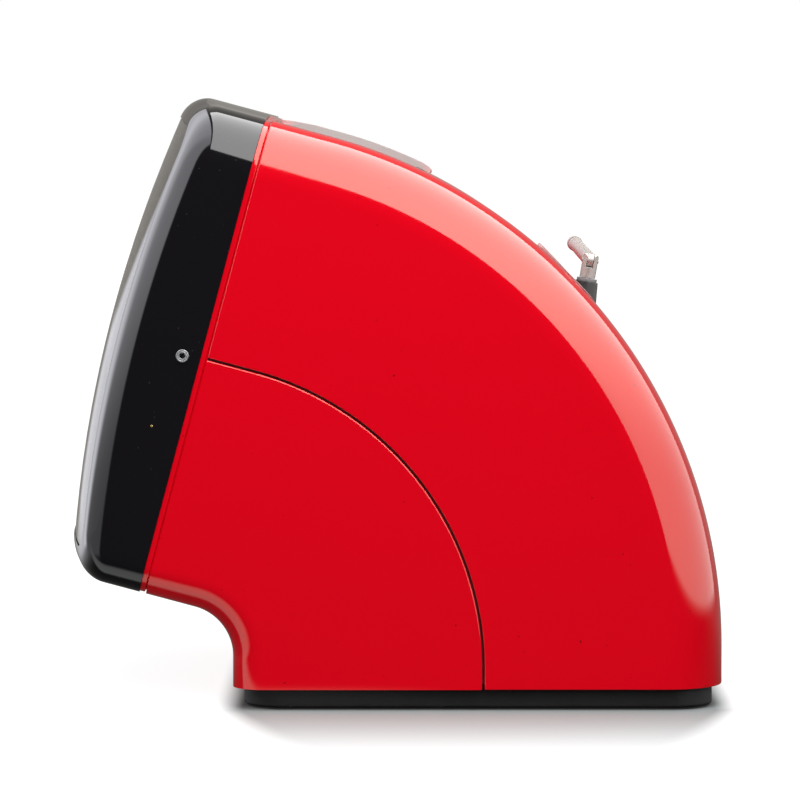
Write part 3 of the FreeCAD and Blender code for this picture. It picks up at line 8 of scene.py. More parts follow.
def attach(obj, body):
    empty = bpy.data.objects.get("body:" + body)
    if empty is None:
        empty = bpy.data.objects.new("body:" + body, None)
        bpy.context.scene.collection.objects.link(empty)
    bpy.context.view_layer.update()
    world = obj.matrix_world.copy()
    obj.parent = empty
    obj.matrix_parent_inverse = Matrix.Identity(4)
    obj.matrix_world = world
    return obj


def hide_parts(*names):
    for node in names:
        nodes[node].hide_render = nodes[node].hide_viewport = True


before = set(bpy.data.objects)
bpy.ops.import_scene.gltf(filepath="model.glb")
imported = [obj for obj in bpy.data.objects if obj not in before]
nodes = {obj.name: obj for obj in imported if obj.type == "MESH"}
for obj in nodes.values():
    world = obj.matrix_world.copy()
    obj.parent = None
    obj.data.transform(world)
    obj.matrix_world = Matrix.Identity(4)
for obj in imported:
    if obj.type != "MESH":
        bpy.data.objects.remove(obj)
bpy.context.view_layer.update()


# Rubber feet: four moulded pads, 20 mm across and 3 mm thick, glued under bosses in the plinth.
# The rubber is dull and dusty, and its rim is rounded where it meets the table.
FOOT_SPOTS = [(x, y) for x in (-0.130, 0.130) for y in (-0.0625, 0.1653)]
FOOT_R, FOOT_HIGH = 0.010, 0.003


def begin(name, add, **how):
    """Adds the primitive that a piece starts from and opens it for editing."""
    bpy.ops.object.select_all(action="DESELECT")
    add(**how)
    piece = bpy.context.object
    piece.name = name
    piece.data.name = name
    bpy.ops.object.transform_apply()
    bpy.ops.object.mode_set(mode="EDIT")
    bpy.ops.mesh.select_mode(type="VERT")
    bpy.ops.mesh.select_all(action="SELECT")
    return piece


def pick(kind, test, selected=False):
    """Selects the vertices, edges or faces that pass the test, out of all or of what is selected."""
    data = bpy.context.object.data
    bpy.ops.mesh.select_mode(type=kind)
    mesh = bmesh.from_edit_mesh(data)
    items = {"VERT": mesh.verts, "EDGE": mesh.edges, "FACE": mesh.faces}[kind]
    items.index_update()
    items.ensure_lookup_table()
    chosen = [item.index for item in items if (item.select or not selected) and test(item)]
    bpy.ops.mesh.select_all(action="DESELECT")
    for index in chosen:
        items[index].select_set(True)
    mesh.select_flush_mode()
    bmesh.update_edit_mesh(data)


def along(edge, direction):
    """True if the edge runs along the direction."""
    run = (edge.verts[1].co - edge.verts[0].co).normalized()
    return abs(run.dot(Vector(direction))) > 0.99


def round_off(test, width, steps):
    """Rounds the edges of the open piece that pass the test."""
    pick("EDGE", test)
    bpy.ops.mesh.bevel(offset=width, segments=steps)


def noise(vector, scale, detail):
    """Adds a noise pattern to a material and gives its value."""
    tree = vector.id_data
    pattern = tree.nodes.new("ShaderNodeTexNoise")
    pattern.inputs["Scale"].default_value = scale
    pattern.inputs["Detail"].default_value = detail
    tree.links.new(vector, pattern.inputs["Vector"])
    return pattern.outputs["Fac"]


def ramp(term, low, high, start=0, end=1, kind="LINEAR"):
    """Goes from the start to the end value as the term goes from low to high."""
    node = term.id_data.nodes.new("ShaderNodeMapRange")
    node.interpolation_type = kind
    for name, value in (("From Min", low), ("From Max", high), ("To Min", start), ("To Max", end)):
        node.inputs[name].default_value = value
    term.id_data.links.new(term, node.inputs["Value"])
    return node.outputs["Result"]


def blend(share, first, last):
    """Goes from the first colour to the last one as the share goes from 0 to 1."""
    tree = share.id_data
    node = tree.nodes.new("ShaderNodeMix")
    node.data_type = "RGBA"
    tree.links.new(share, node.inputs[0])
    for socket, term in ((node.inputs[6], first), (node.inputs[7], last)):
        if isinstance(term, tuple):
            socket.default_value = (*term, 1)
        else:
            tree.links.new(term, socket)
    return node.outputs[2]


def textured(gloss_pattern, rough, relief_pattern, strength, depth):
    """Spreads the roughness by one pattern, and gives the surface the relief of another."""
    tree = gloss_pattern.id_data
    shader = tree.nodes["Principled BSDF"]
    tree.links.new(ramp(gloss_pattern, 0, 1, *rough), shader.inputs["Roughness"])
    relief = tree.nodes.new("ShaderNodeBump")
    relief.inputs["Strength"].default_value = strength
    relief.inputs["Distance"].default_value = depth
    tree.links.new(relief_pattern, relief.inputs["Height"])
    tree.links.new(relief.outputs["Normal"], shader.inputs["Normal"])


def moulded(name, colour, shade, cloud_scale, rough, grain_scale, grain_depth, dust=None):
    """Material of a moulded piece: two close colours clouded together, a spread of gloss, a fine grain.
    Dust is the scale, the threshold and the colour of sparse specks of dirt or wear."""
    material = bpy.data.materials.new(name)
    material.use_nodes = True
    tree = material.node_tree
    place = tree.nodes.new("ShaderNodeTexCoord").outputs["Object"]
    cloud = noise(place, cloud_scale, 5)
    surface = blend(cloud, colour, shade)
    if dust:
        scale, threshold, dirt = dust
        surface = blend(ramp(noise(place, scale, 2), threshold, threshold + 0.04), surface, dirt)
    tree.links.new(surface, tree.nodes["Principled BSDF"].inputs["Base Color"])
    textured(cloud, rough, noise(place, grain_scale, 3), 0.5, grain_depth)
    return material


def choose(piece):
    """Leaves edit mode, and makes the piece the only one that is selected."""
    if piece.mode == "EDIT":
        bpy.ops.object.mode_set(mode="OBJECT")
    bpy.ops.object.select_all(action="DESELECT")
    piece.select_set(True)
    bpy.context.view_layer.objects.active = piece


def modify(piece, kind, **values):
    """Adds a modifier with these values and applies it."""
    choose(piece)
    modifier = piece.modifiers.new(kind.lower(), kind)
    for name, value in values.items():
        setattr(modifier, name, value)
    bpy.ops.object.modifier_apply(modifier=modifier.name)


def complete(piece, material, body, slot, *stands_for):
    """Closes a piece: smooth shading with flat panels kept flat, its material, the body it rides on and the
    CAD nodes that it stands for."""
    choose(piece)
    bpy.ops.object.shade_smooth_by_angle(angle=math.radians(35))
    modify(piece, "WEIGHTED_NORMAL", keep_sharp=True)
    piece.data.materials.clear()
    piece.data.materials.append(material)
    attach(piece, body)
    if stands_for:
        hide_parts(*stands_for)


foot_rubber = moulded("foot_rubber", (0.03, 0.03, 0.03), (0.05, 0.048, 0.045), 120, (0.75, 0.95), 2500, 0.0001)
foot_pads = begin("foot_pads", bpy.ops.mesh.primitive_cylinder_add, vertices=40, radius=FOOT_R, depth=FOOT_HIGH,
                  location=(*FOOT_SPOTS[0], FOOT_HIGH / 2))
round_off(lambda edge: all(vert.co.z < 0.0001 for vert in edge.verts), 0.0009, 3)
bpy.ops.mesh.select_all(action="SELECT")
for before, after in zip(FOOT_SPOTS, FOOT_SPOTS[1:]):
    step = (after[0] - before[0], after[1] - before[1], 0)
    bpy.ops.mesh.duplicate_move(TRANSFORM_OT_translate={"value": step})
complete(foot_pads, foot_rubber, "set", "foot_rubber", "rubber_feet")


# Plinth: a shallow black moulding, 308 by 276 mm, open below, that lifts the cabinet clear of the table.
# Its lower edge is chamfered, and four bosses inside carry the feet. The finish is fine and matt.
PLINTH_WIDE, PLINTH_LONG, PLINTH_HIGH, PLINTH_ROUND = 0.308, 0.2758, 0.0117, 0.024
PLINTH_Y, PLINTH_LOW, PLINTH_HOLLOW = 0.0514, 0.001, 0.0087
BOSS_R, BOSS_HIGH = 0.0115, 0.0067


def tune(material, settings):
    """Sets more of a material's levels, by the names that the shader gives them."""
    for name, level in settings.items():
        material.node_tree.nodes["Principled BSDF"].inputs[name].default_value = level


black_plinth = moulded("black_plinth", (0.004, 0.004, 0.004), (0.009, 0.009, 0.009), 60, (0.55, 0.7), 1800, 0.00012,
                       dust=(220, 0.72, (0.03, 0.03, 0.03)))
tune(black_plinth, {"Specular IOR Level": 0.25})
plinth_moulding = begin("plinth_moulding", bpy.ops.mesh.primitive_cube_add, size=1,
                        location=(0, PLINTH_Y, PLINTH_LOW + PLINTH_HIGH / 2),
                        scale=(PLINTH_WIDE, PLINTH_LONG, PLINTH_HIGH))
round_off(lambda edge: along(edge, (0, 0, 1)), PLINTH_ROUND, 12)
round_off(lambda edge: all(vert.co.z < PLINTH_LOW + 0.0001 for vert in edge.verts), 0.002, 3)
pick("FACE", lambda face: face.normal.z < -0.99 and face.calc_area() > 0.01)
bpy.ops.mesh.inset(thickness=0.001)
bpy.ops.mesh.extrude_region_move(TRANSFORM_OT_translate={"value": (0, 0, PLINTH_HOLLOW)})
for x, y in FOOT_SPOTS:
    bpy.ops.mesh.primitive_cylinder_add(vertices=32, radius=BOSS_R, depth=BOSS_HIGH,
                                        location=(x, y, FOOT_HIGH + BOSS_HIGH / 2))
complete(plinth_moulding, black_plinth, "set", "black_plinth", "plinth")


# Chassis and electronics: folded zinc-plated steel, a brown laminate board with its components,
# the two transformers, the tuner, the switches and the loudspeaker. They show only through slots.
def metal(name, colour, rough, stretch, bright=1.0):
    """Material of a drawn or brushed metal: fine streaks along one way change its gloss.
    Below 1, bright makes it duller, as under lacquer or an old oxide skin."""
    material = bpy.data.materials.new(name)
    material.use_nodes = True
    tune(material, {"Metallic": bright, "Base Color": (*colour, 1)})
    tree = material.node_tree
    turn = tree.nodes.new("ShaderNodeMapping")
    turn.inputs["Scale"].default_value = stretch
    tree.links.new(tree.nodes.new("ShaderNodeTexCoord").outputs["Object"], turn.inputs["Vector"])
    streak = noise(turn.outputs["Vector"], 30, 6)
    textured(streak, rough, streak, 0.15, 0.0001)
    return material


def dress(material, *names):
    """Gives its material to CAD nodes that are shown as they are."""
    for name in names:
        nodes[name].data.materials.clear()
        nodes[name].data.materials.append(material)


zinc_steel = metal("zinc_steel", (0.52, 0.52, 0.5), (0.3, 0.5), (1, 1, 8))
dress(zinc_steel, "plinth_screws", "tube_band", "tube_screws", "chassis_frame", "tuner_box", "speaker_frame",
      "handle_clips", "tuning_shaft")
dress(moulded("board_laminate", (0.3, 0.16, 0.06), (0.22, 0.11, 0.04), 40, (0.5, 0.7), 900, 0.0001),
      "main_board", "neck_board")
dress(moulded("component_blue", (0.05, 0.12, 0.3), (0.03, 0.07, 0.2), 60, (0.25, 0.4), 700, 0.00005),
      "board_components")
dress(moulded("transformer_steel", (0.08, 0.08, 0.085), (0.05, 0.045, 0.04), 50, (0.4, 0.65), 1200, 0.0002),
      "power_transformer")
dress(moulded("ferrite", (0.05, 0.05, 0.055), (0.07, 0.068, 0.066), 70, (0.5, 0.7), 1500, 0.0001),
      "flyback_transformer", "yoke_core", "speaker_magnet")
dress(moulded("cone_paper", (0.025, 0.024, 0.023), (0.045, 0.043, 0.04), 200, (0.85, 1.0), 3000, 0.0003),
      "speaker_cone")
dress(moulded("ivory_plastic", (0.6, 0.54, 0.4), (0.5, 0.44, 0.32), 50, (0.4, 0.55), 900, 0.00005),
      "slider_pots", "switch_bank", "yoke_clamp", "neck_magnets", "neck_socket")
dress(moulded("copper_wire", (0.42, 0.14, 0.05), (0.3, 0.09, 0.03), 300, (0.3, 0.45), 2000, 0.0003), "yoke_coils")
dress(moulded("cap_rubber", (0.06, 0.015, 0.012), (0.04, 0.01, 0.01), 80, (0.6, 0.8), 1500, 0.0001), "anode_cap")


# Lower cabinet: the chin, the concave leg and both lower side panels in one glossy red moulding.
# Its side panels end in a quarter-round seam, backed by a tongue whose dark red is painted shade, so that the
# seam reads as a deep, shaded groove; the left one is slotted for the speaker.
LEAN, SWEEP = math.radians(15), 75
BACK_Y, BACK_Z, BACK_R = -0.1151, 0.0344, 0.3104
HALF = 0.160
FRONT = 0.0357
FLOOR_Z = 0.0127
WALL = 0.003
FLANGE = 0.018
CHIN = 0.0244
LEG_Y = -0.0925
CHIN_ROUND = 0.018
SEAM_Y, SEAM_Z, SEAM_R = -0.125, 0.0254, 0.179
SEAM_HALF_GAP, SEAM_ROUND = 0.0007, 0.0009
HOLLOW = 0.030
HOLD = 0.0015
NEAR = 2e-5


def ahead_of(y, z):
    return -(y - BACK_Y) * math.cos(LEAN) + (z - BACK_Z) * math.sin(LEAN)


def up_of(y, z):
    return (y - BACK_Y) * math.sin(LEAN) + (z - BACK_Z) * math.cos(LEAN)


def leaning(ahead, up):
    """The place (y, z) that far ahead of the arc's centre and that far up along the screen."""
    y = BACK_Y - ahead * math.cos(LEAN) + up * math.sin(LEAN)
    z = BACK_Z + ahead * math.sin(LEAN) + up * math.cos(LEAN)
    return y, z


def draw(name, first, *moves):
    """Draws a closed side outline by extruding and spinning one point, and fills it.
    A move is a place (y, z) for a straight run, or (y, z, degrees) for an arc about that centre."""
    piece = begin(name, bpy.ops.mesh.primitive_plane_add, size=0.01, location=(0, *first))
    bpy.ops.mesh.merge(type="CENTER")
    here = Vector((0, *first))
    for move in moves:
        if len(move) == 2:
            there = Vector((0, *move))
            bpy.ops.mesh.extrude_vertices_move(TRANSFORM_OT_translate={"value": there - here})
        else:
            centre = Vector((0, move[0], move[1]))
            angle = math.radians(move[2])
            bpy.ops.mesh.spin(steps=max(8, round(abs(move[2]) / 0.6)), angle=-angle, center=centre, axis=(1, 0, 0))
            arm = here - centre
            there = centre + Vector((0, arm.y * math.cos(angle) - arm.z * math.sin(angle),
                                     arm.y * math.sin(angle) + arm.z * math.cos(angle)))
        here = there
    bpy.ops.mesh.select_all(action="SELECT")
    bpy.ops.mesh.remove_doubles(threshold=NEAR)
    bpy.ops.mesh.edge_face_add()
    return piece


def thicken(start_x, end_x):
    """Draws the filled outline out sideways into a block."""
    bpy.ops.mesh.select_all(action="SELECT")
    bpy.ops.transform.translate(value=(start_x, 0, 0))
    bpy.ops.mesh.extrude_region_move(TRANSFORM_OT_translate={"value": (end_x - start_x, 0, 0)})
    bpy.ops.mesh.select_all(action="SELECT")
    bpy.ops.mesh.normals_make_consistent(inside=False)


def hold_flat(rounding):
    """Narrow strips beside the rounded edges keep the flat panels' shading flat."""
    inner_x = HALF - rounding - HOLD
    bpy.ops.mesh.select_all(action="SELECT")
    for x in (-inner_x, inner_x):
        bpy.ops.mesh.bisect(plane_co=(x, 0, 0), plane_no=(1, 0, 0))
        bpy.ops.mesh.select_all(action="SELECT")
    pick("FACE", lambda face: abs(face.normal.x) > 0.999 and face.calc_area() > 0.005)
    bpy.ops.mesh.inset(thickness=HOLD)


def break_edges(piece, width, degrees=38, segments=3):
    """Rounds every edge that turns by more than those degrees."""
    modify(piece, "BEVEL", width=width, segments=segments, limit_method="ANGLE", angle_limit=math.radians(degrees))


def on_seam(vert, radius):
    """True on the quarter-round seam, on its straight run to the front or on its drop to the floor."""
    y, z = vert.co.y, vert.co.z
    seam_up = up_of(SEAM_Y, SEAM_Z) + radius
    return (abs(math.hypot(y - SEAM_Y, z - SEAM_Z) - radius) < NEAR or abs(up_of(y, z) - seam_up) < NEAR
            or abs(y - SEAM_Y - radius) < NEAR)


def open_skin(piece, seam_radius):
    """Opens the block at the front, along the seam and under the floor, and gives the skin its wall."""
    pick("FACE", lambda face: abs(face.normal.x) < 0.5 and (
        all(abs(ahead_of(vert.co.y, vert.co.z) - FRONT) < NEAR for vert in face.verts)
        or all(on_seam(vert, seam_radius) for vert in face.verts)))
    bpy.ops.mesh.delete(type="FACE")
    pick("FACE", lambda face: face.normal.z < -0.99 and all(vert.co.z < FLOOR_Z + NEAR for vert in face.verts))
    bpy.ops.mesh.dissolve_faces()
    bpy.ops.mesh.inset(thickness=FLANGE)
    bpy.ops.mesh.delete(type="FACE")
    middle = SEAM_Y + seam_radius
    pick("FACE", lambda face: face.normal.z < -0.99 and abs(face.calc_center_median().y - middle) < FLANGE
         and abs(face.calc_center_median().x) < HALF - 2 * FLANGE)
    bpy.ops.mesh.delete(type="FACE")
    modify(piece, "SOLIDIFY", thickness=WALL, offset=-1, use_even_offset=True)


red_shell = moulded("red_shell", (0.73, 0.0012, 0.0105), (0.69, 0.001, 0.0098), 7, (0.045, 0.085), 16, 0.00004,
                    dust=(330, 0.755, (0.2, 0.004, 0.006)))
tune(red_shell, {"Specular IOR Level": 0.62, "Specular Tint": (1, 0.97, 0.82, 1)})
seam_low = SEAM_R - SEAM_HALF_GAP
seam_ahead = ahead_of(SEAM_Y, SEAM_Z)
seam_base = up_of(SEAM_Y, SEAM_Z)
hollow_y = LEG_Y - HOLLOW
hollow_z = BACK_Z + (CHIN - HOLLOW - (hollow_y - BACK_Y) * math.sin(LEAN)) / math.cos(LEAN)
lower_shell = draw("lower_shell", leaning(FRONT, seam_base + seam_low), leaning(seam_ahead, seam_base + seam_low),
                   (SEAM_Y, SEAM_Z, -SWEEP), (SEAM_Y + seam_low, FLOOR_Z), (LEG_Y, FLOOR_Z), (LEG_Y, hollow_z),
                   (hollow_y, hollow_z, SWEEP), leaning(FRONT, CHIN))
thicken(-HALF, HALF)


def on_chin(vert):
    y, z = vert.co.y, vert.co.z
    return abs(abs(vert.co.x) - HALF) < NEAR and (
        abs(y - LEG_Y) < NEAR and z < hollow_z + NEAR
        or abs(math.hypot(y - hollow_y, z - hollow_z) - HOLLOW) < NEAR
        or abs(up_of(y, z) - CHIN) < NEAR)


round_off(lambda edge: all(on_chin(vert) for vert in edge.verts) and not along(edge, (1, 0, 0)), CHIN_ROUND, 12)
hold_flat(CHIN_ROUND)
open_skin(lower_shell, seam_low)
bpy.ops.object.mode_set(mode="EDIT")
round_off(lambda edge: not along(edge, (1, 0, 0)) and all(
    abs(abs(vert.co.x) - HALF) < NEAR and on_seam(vert, seam_low) for vert in edge.verts), SEAM_ROUND, 4)
break_edges(lower_shell, 0.0006, 50)

TONGUE, TONGUE_THICK = 0.006, 0.002
tongue_in, tongue_out = SEAM_R - TONGUE, SEAM_R + TONGUE
seam_tongue = draw("seam_tongue", leaning(FRONT, seam_base + tongue_in), leaning(seam_ahead, seam_base + tongue_in),
                   (SEAM_Y, SEAM_Z, -SWEEP), (SEAM_Y + tongue_in, FLOOR_Z + WALL),
                   (SEAM_Y + tongue_out, FLOOR_Z + WALL), (SEAM_Y + tongue_out, SEAM_Z), (SEAM_Y, SEAM_Z, SWEEP),
                   leaning(FRONT, seam_base + tongue_out))
thicken(HALF - WALL - TONGUE_THICK, HALF - WALL)
bpy.ops.mesh.duplicate_move(TRANSFORM_OT_translate={"value": (TONGUE_THICK + 2 * WALL - 2 * HALF, 0, 0)})
# The tongue's dark red is painted shade: it stands for the shadow deep in the seam's gap.
painted_shade_red = moulded("painted_shade_red", (0.09, 0.003, 0.005), (0.05, 0.003, 0.004), 90, (0.6, 0.8), 900, 0.0001)
complete(seam_tongue, painted_shade_red, "set", "red_shell")

SPEAKER_Y, SPEAKER_Z = -0.0146, 0.0795
GRILLE_R, GRILLE_PITCH, GRILLE_SLOT, GRILLE_DEEP = 0.038, 0.0075, 0.003, 0.012


def blank(name):
    """An empty mesh, open for the blocks or the loops that are added to it."""
    piece = begin(name, bpy.ops.mesh.primitive_cube_add, size=0.01)
    bpy.ops.mesh.delete(type="VERT")
    return piece


def slot_block(place, size, depth_axis, lean=0.0):
    """Adds a round-ended block to a cutter; its shortest side sets the rounding."""
    bpy.ops.mesh.select_all(action="DESELECT")
    bpy.ops.mesh.primitive_cube_add(size=1, location=place, scale=size, rotation=(lean, 0, 0))
    pick("EDGE", lambda edge: along(edge, depth_axis), selected=True)
    bpy.ops.mesh.bevel(offset=sorted(size)[0] * 0.499, segments=5)


def cut_out(piece, tool):
    """Cuts the tool's shape out of the piece and removes the tool."""
    choose(tool)
    modify(piece, "BOOLEAN", operation="DIFFERENCE", object=tool, solver="EXACT")
    bpy.data.objects.remove(tool)


grille_cutter = blank("grille_cutter")
for row in range(-4, 5):
    half_slot = math.sqrt(GRILLE_R ** 2 - (GRILLE_PITCH * row) ** 2)
    slot_block((-HALF, SPEAKER_Y, SPEAKER_Z + GRILLE_PITCH * row),
               (GRILLE_DEEP, 2 * half_slot, GRILLE_SLOT), (1, 0, 0))
cut_out(lower_shell, grille_cutter)
complete(lower_shell, red_shell, "set", "red_shell", "lower_cabinet")


# Picture tube: a glass bulb with a crowned face, a straight skirt, a funnel and a thin neck.
# The phosphor behind the face looks pale grey-green; the real funnel is coated dark, but here the whole bulb
# takes the face's glass.
FACE_UP = 0.1718
FACE_R = 0.760
BROW = 0.0397
FACE_APEX = BROW + 0.0648
SIDE_CUTS = 23
CORNER_STEPS = 8


def dome(x, up, sink=0.0):
    """How far ahead the crowned face lies at that place, sunk by that much."""
    return FACE_APEX - FACE_R + math.sqrt((FACE_R - sink) ** 2 - x ** 2 - (up - FACE_UP) ** 2)


def add_loop(level, half_x, low, high, low_round, high_round):
    """Adds a rounded rectangle of edges, square to the screen, at its own level along Y."""
    bpy.ops.mesh.select_all(action="DESELECT")
    middle = (low + high) / 2
    bpy.ops.mesh.primitive_plane_add(size=1, location=(0, level, middle), rotation=(math.pi / 2, 0, 0))
    bpy.ops.transform.resize(value=(2 * half_x, 1, high - low), center_override=(0, level, middle))

    def here(vert):
        return abs(vert.co.y - level) < 0.01

    pick("VERT", lambda vert: here(vert) and vert.co.z < middle)
    bpy.ops.mesh.bevel(offset=low_round, segments=CORNER_STEPS, affect="VERTICES")
    pick("VERT", lambda vert: here(vert) and vert.co.z > high - 1e-7)
    bpy.ops.mesh.bevel(offset=high_round, segments=CORNER_STEPS, affect="VERTICES")
    pick("FACE", lambda face: here(face.verts[0]))
    bpy.ops.mesh.delete(type="ONLY_FACE")

    def straight(edge):
        first, last = (vert.co for vert in edge.verts)
        return here(edge.verts[0]) and (
            abs(first.x - last.x) < 1e-7 and abs(abs(first.x) - half_x) < 1e-7
            or abs(first.z - last.z) < 1e-7 and min(abs(first.z - low), abs(first.z - high)) < 1e-7)

    pick("EDGE", straight)
    bpy.ops.mesh.subdivide(number_cuts=SIDE_CUTS)


def loft(name, loops, closed):
    """Bridges rounded rectangles in turn, each (half_x, low, high, low_round, high_round, ahead).
    Ahead is a number, or the sink under the crowned face as a text."""
    piece = blank(name)
    for level, loop in enumerate(loops):
        add_loop(level, *loop[:5])
    pairs = list(zip(range(len(loops)), range(1, len(loops))))
    if closed:
        pairs.append((len(loops) - 1, 0))
    for first, last in pairs:
        pick("EDGE", lambda edge: all(round(vert.co.y) == first for vert in edge.verts)
             or all(round(vert.co.y) == last for vert in edge.verts))
        bpy.ops.mesh.bridge_edge_loops()
    if not closed:
        for end in (0, len(loops) - 1):
            pick("EDGE", lambda edge: all(round(vert.co.y) == end for vert in edge.verts))
            bpy.ops.mesh.edge_face_add()
    mesh = bmesh.from_edit_mesh(piece.data)
    for vert in mesh.verts:
        ahead = loops[round(vert.co.y)][5]
        vert.co.y = -dome(vert.co.x, vert.co.z, float(ahead)) if isinstance(ahead, str) else -ahead
    bmesh.update_edit_mesh(piece.data)
    bpy.ops.mesh.select_all(action="SELECT")
    bpy.ops.mesh.normals_make_consistent(inside=False)
    if bmesh.from_edit_mesh(piece.data).calc_volume(signed=True) < 0:
        bpy.ops.mesh.flip_normals()
    return piece


def lean_back(piece):
    """Turns a piece that was made upright into the screen's lean and sets it in its place."""
    choose(piece)
    piece.rotation_euler.x = -LEAN
    piece.location = (0, BACK_Y, BACK_Z)
    bpy.ops.object.transform_apply()


def about_middle(half_x, half_z, corner, ahead):
    return half_x, FACE_UP - half_z, FACE_UP + half_z, corner, corner, ahead


TUBE_X, TUBE_Z, TUBE_CORNER, SKIRT, FUNNEL, NECK = 0.137, 0.107, 0.034, 0.050, 0.100, 0.0145
tube_loops = [about_middle(TUBE_X * share, TUBE_Z * share, TUBE_CORNER * share, "0.0073")
              for share in (0.06, 0.2, 0.35, 0.5, 0.65, 0.8, 0.92, 0.985)]
tube_loops.append(about_middle(TUBE_X, TUBE_Z, TUBE_CORNER, "0.0098"))
for share, spread in ((0, 1), (0.2, 0.84), (0.4, 0.64), (0.6, 0.43), (0.75, 0.3), (0.9, 0.12), (1, 0.01)):
    tube_loops.append(about_middle(NECK + (TUBE_X - NECK) * spread + 0.0002, NECK + (TUBE_Z - NECK) * spread + 0.0002,
                                   TUBE_CORNER * spread + NECK * (1 - spread), SKIRT - FUNNEL * share))
NECK_END = FACE_APEX - 0.0073 - 0.280
tube_loops.append(about_middle(NECK + 0.0002, NECK + 0.0002, NECK, NECK_END + 0.004))
tube_loops.append(about_middle(NECK - 0.003, NECK - 0.003, NECK - 0.0032, NECK_END))
tube_bulb = loft("tube_bulb", tube_loops, closed=False)
lean_back(tube_bulb)
tube_glass = moulded("tube_glass", (0.16, 0.18, 0.165), (0.14, 0.16, 0.15), 12, (0.05, 0.09), 8, 0.00001)
complete(tube_bulb, tube_glass, "set", "tube_glass", "picture_tube")


# Front bezel: a black, high-gloss frame with a crowned face and a front edge rounded by 14 mm.
# It is rebated for the filter panel and open behind it, down to the tube.
CROWN_ROUND = 0.034
BEZEL_ROUND = 0.014
JACK, JACK_HOLE = leaning(0.0501, 0.1658), 0.0028
MARGIN, FILTER_CORNER = 0.015, 0.020
OVERSTAND, CROWN_FALL, CROWN_DEEP = 0.0034, 0.056, 0.045
FRONT_BAND = 0.012


def outline(inset, ahead):
    """The cabinet's front outline, drawn in by that much."""
    return HALF - inset, CHIN + inset, BACK_R - inset, CHIN_ROUND - inset, CROWN_ROUND - inset, ahead


def filter_outline(grow, share, ahead):
    half_x, half_z = HALF - MARGIN + grow, (BACK_R - CHIN) / 2 - MARGIN + grow
    middle = (BACK_R + CHIN) / 2
    corner = (FILTER_CORNER + grow) * share
    return half_x * share, middle - half_z * share, middle + half_z * share, corner, corner, ahead


def crown_top(piece):
    """Raises the middle of the top, so that it stands 3.4 mm over the cabinet and falls to its corners."""
    mesh = bmesh.from_edit_mesh(piece.data)
    for vert in mesh.verts:
        inward = min(max((HALF - CROWN_ROUND - abs(vert.co.x)) / CROWN_FALL, 0), 1)
        near_top = min(max((vert.co.z - BACK_R) / CROWN_DEEP + 1, 0), 1)
        vert.co.z += OVERSTAND * (3 * inward ** 2 - 2 * inward ** 3) * near_top
    bmesh.update_edit_mesh(piece.data)


SCREEN_X, SCREEN_Z, SCREEN_CORNER = 0.126, 0.097, 0.028
black_bezel = moulded("black_bezel", (0.0062, 0.0055, 0.0066), (0.0078, 0.007, 0.0082), 9, (0.03, 0.07), 14, 0.00003,
                      dust=(420, 0.735, (0.05, 0.048, 0.05)))
bezel_frame = loft("bezel_frame", [
    outline(0, BROW),
    outline(0, "0"),
    filter_outline(0.0003, 1, "0"),
    filter_outline(0.0003, 1, "0.00375"),
    about_middle(SCREEN_X, SCREEN_Z, SCREEN_CORNER, "0.00375"),
    about_middle(SCREEN_X, SCREEN_Z, SCREEN_CORNER, "0.007"),
    outline(WALL, "0.007"),
    outline(WALL, BROW),
], closed=True)


def on_front_edge(vert):
    x, up = abs(vert.co.x), vert.co.z
    outer = x > HALF - FRONT_BAND or up > BACK_R - FRONT_BAND or up < CHIN + FRONT_BAND
    return outer and abs(vert.co.y + dome(x, up)) < 1e-5


round_off(lambda edge: all(on_front_edge(vert) for vert in edge.verts), BEZEL_ROUND, 12)
crown_top(bezel_frame)
lean_back(bezel_frame)
jack_cutter = blank("jack_cutter")
bpy.ops.mesh.primitive_cylinder_add(vertices=32, radius=JACK_HOLE, depth=0.02, location=(HALF, *JACK),
                                    rotation=(0, math.pi / 2, 0))
cut_out(bezel_frame, jack_cutter)
complete(bezel_frame, black_bezel, "set", "black_bezel", "front_bezel")


# Filter panel: smoked acrylic, 3 mm thick, crowned like the bezel and let into its rebate.
# It darkens the tube behind it, and its polished face shows the room.
rings = (0.04, 0.15, 0.28, 0.41, 0.54, 0.67, 0.8, 0.92)
filter_loops = [filter_outline(0, share, "0.0036") for share in rings] + [filter_outline(0, 1, "0.0036")]
filter_loops += [filter_outline(0, 1, "0.0011"), filter_outline(-0.0005, 1, "0.0006")]
filter_loops += [filter_outline(0, share, "0.0006") for share in reversed(rings)]
filter_panel = loft("filter_panel", filter_loops, closed=False)
crown_top(filter_panel)
lean_back(filter_panel)
smoked_filter = moulded("smoked_filter", (0.2, 0.185, 0.175), (0.17, 0.16, 0.15), 6, (0.0, 0.025), 20, 0.00001)
tune(smoked_filter, {"Transmission Weight": 1, "IOR": 1.49})
complete(filter_panel, smoked_filter, "set", "smoked_filter", "screen_filter")


# Front rim: a red strip, 4 mm deep and 0.8 mm lower than the cabinet, between the cabinet and the bezel.
# It is moulded in the cabinet's red plastic, and a narrow groove behind it takes up the joint.
RIM_STEP, RIM_GROOVE, GROOVE_DEEP, RIM_DEEP = 0.0008, 0.0009, 0.0022, 0.009
front_strip = loft("front_strip", [
    outline(GROOVE_DEEP, FRONT),
    outline(GROOVE_DEEP, FRONT + RIM_GROOVE),
    outline(RIM_STEP, FRONT + RIM_GROOVE),
    outline(RIM_STEP, BROW),
    outline(RIM_DEEP, BROW),
    outline(RIM_DEEP, FRONT),
], closed=True)
crown_top(front_strip)
lean_back(front_strip)
break_edges(front_strip, 0.0004, 50, segments=2)
complete(front_strip, red_shell, "set", "red_shell", "front_rim")


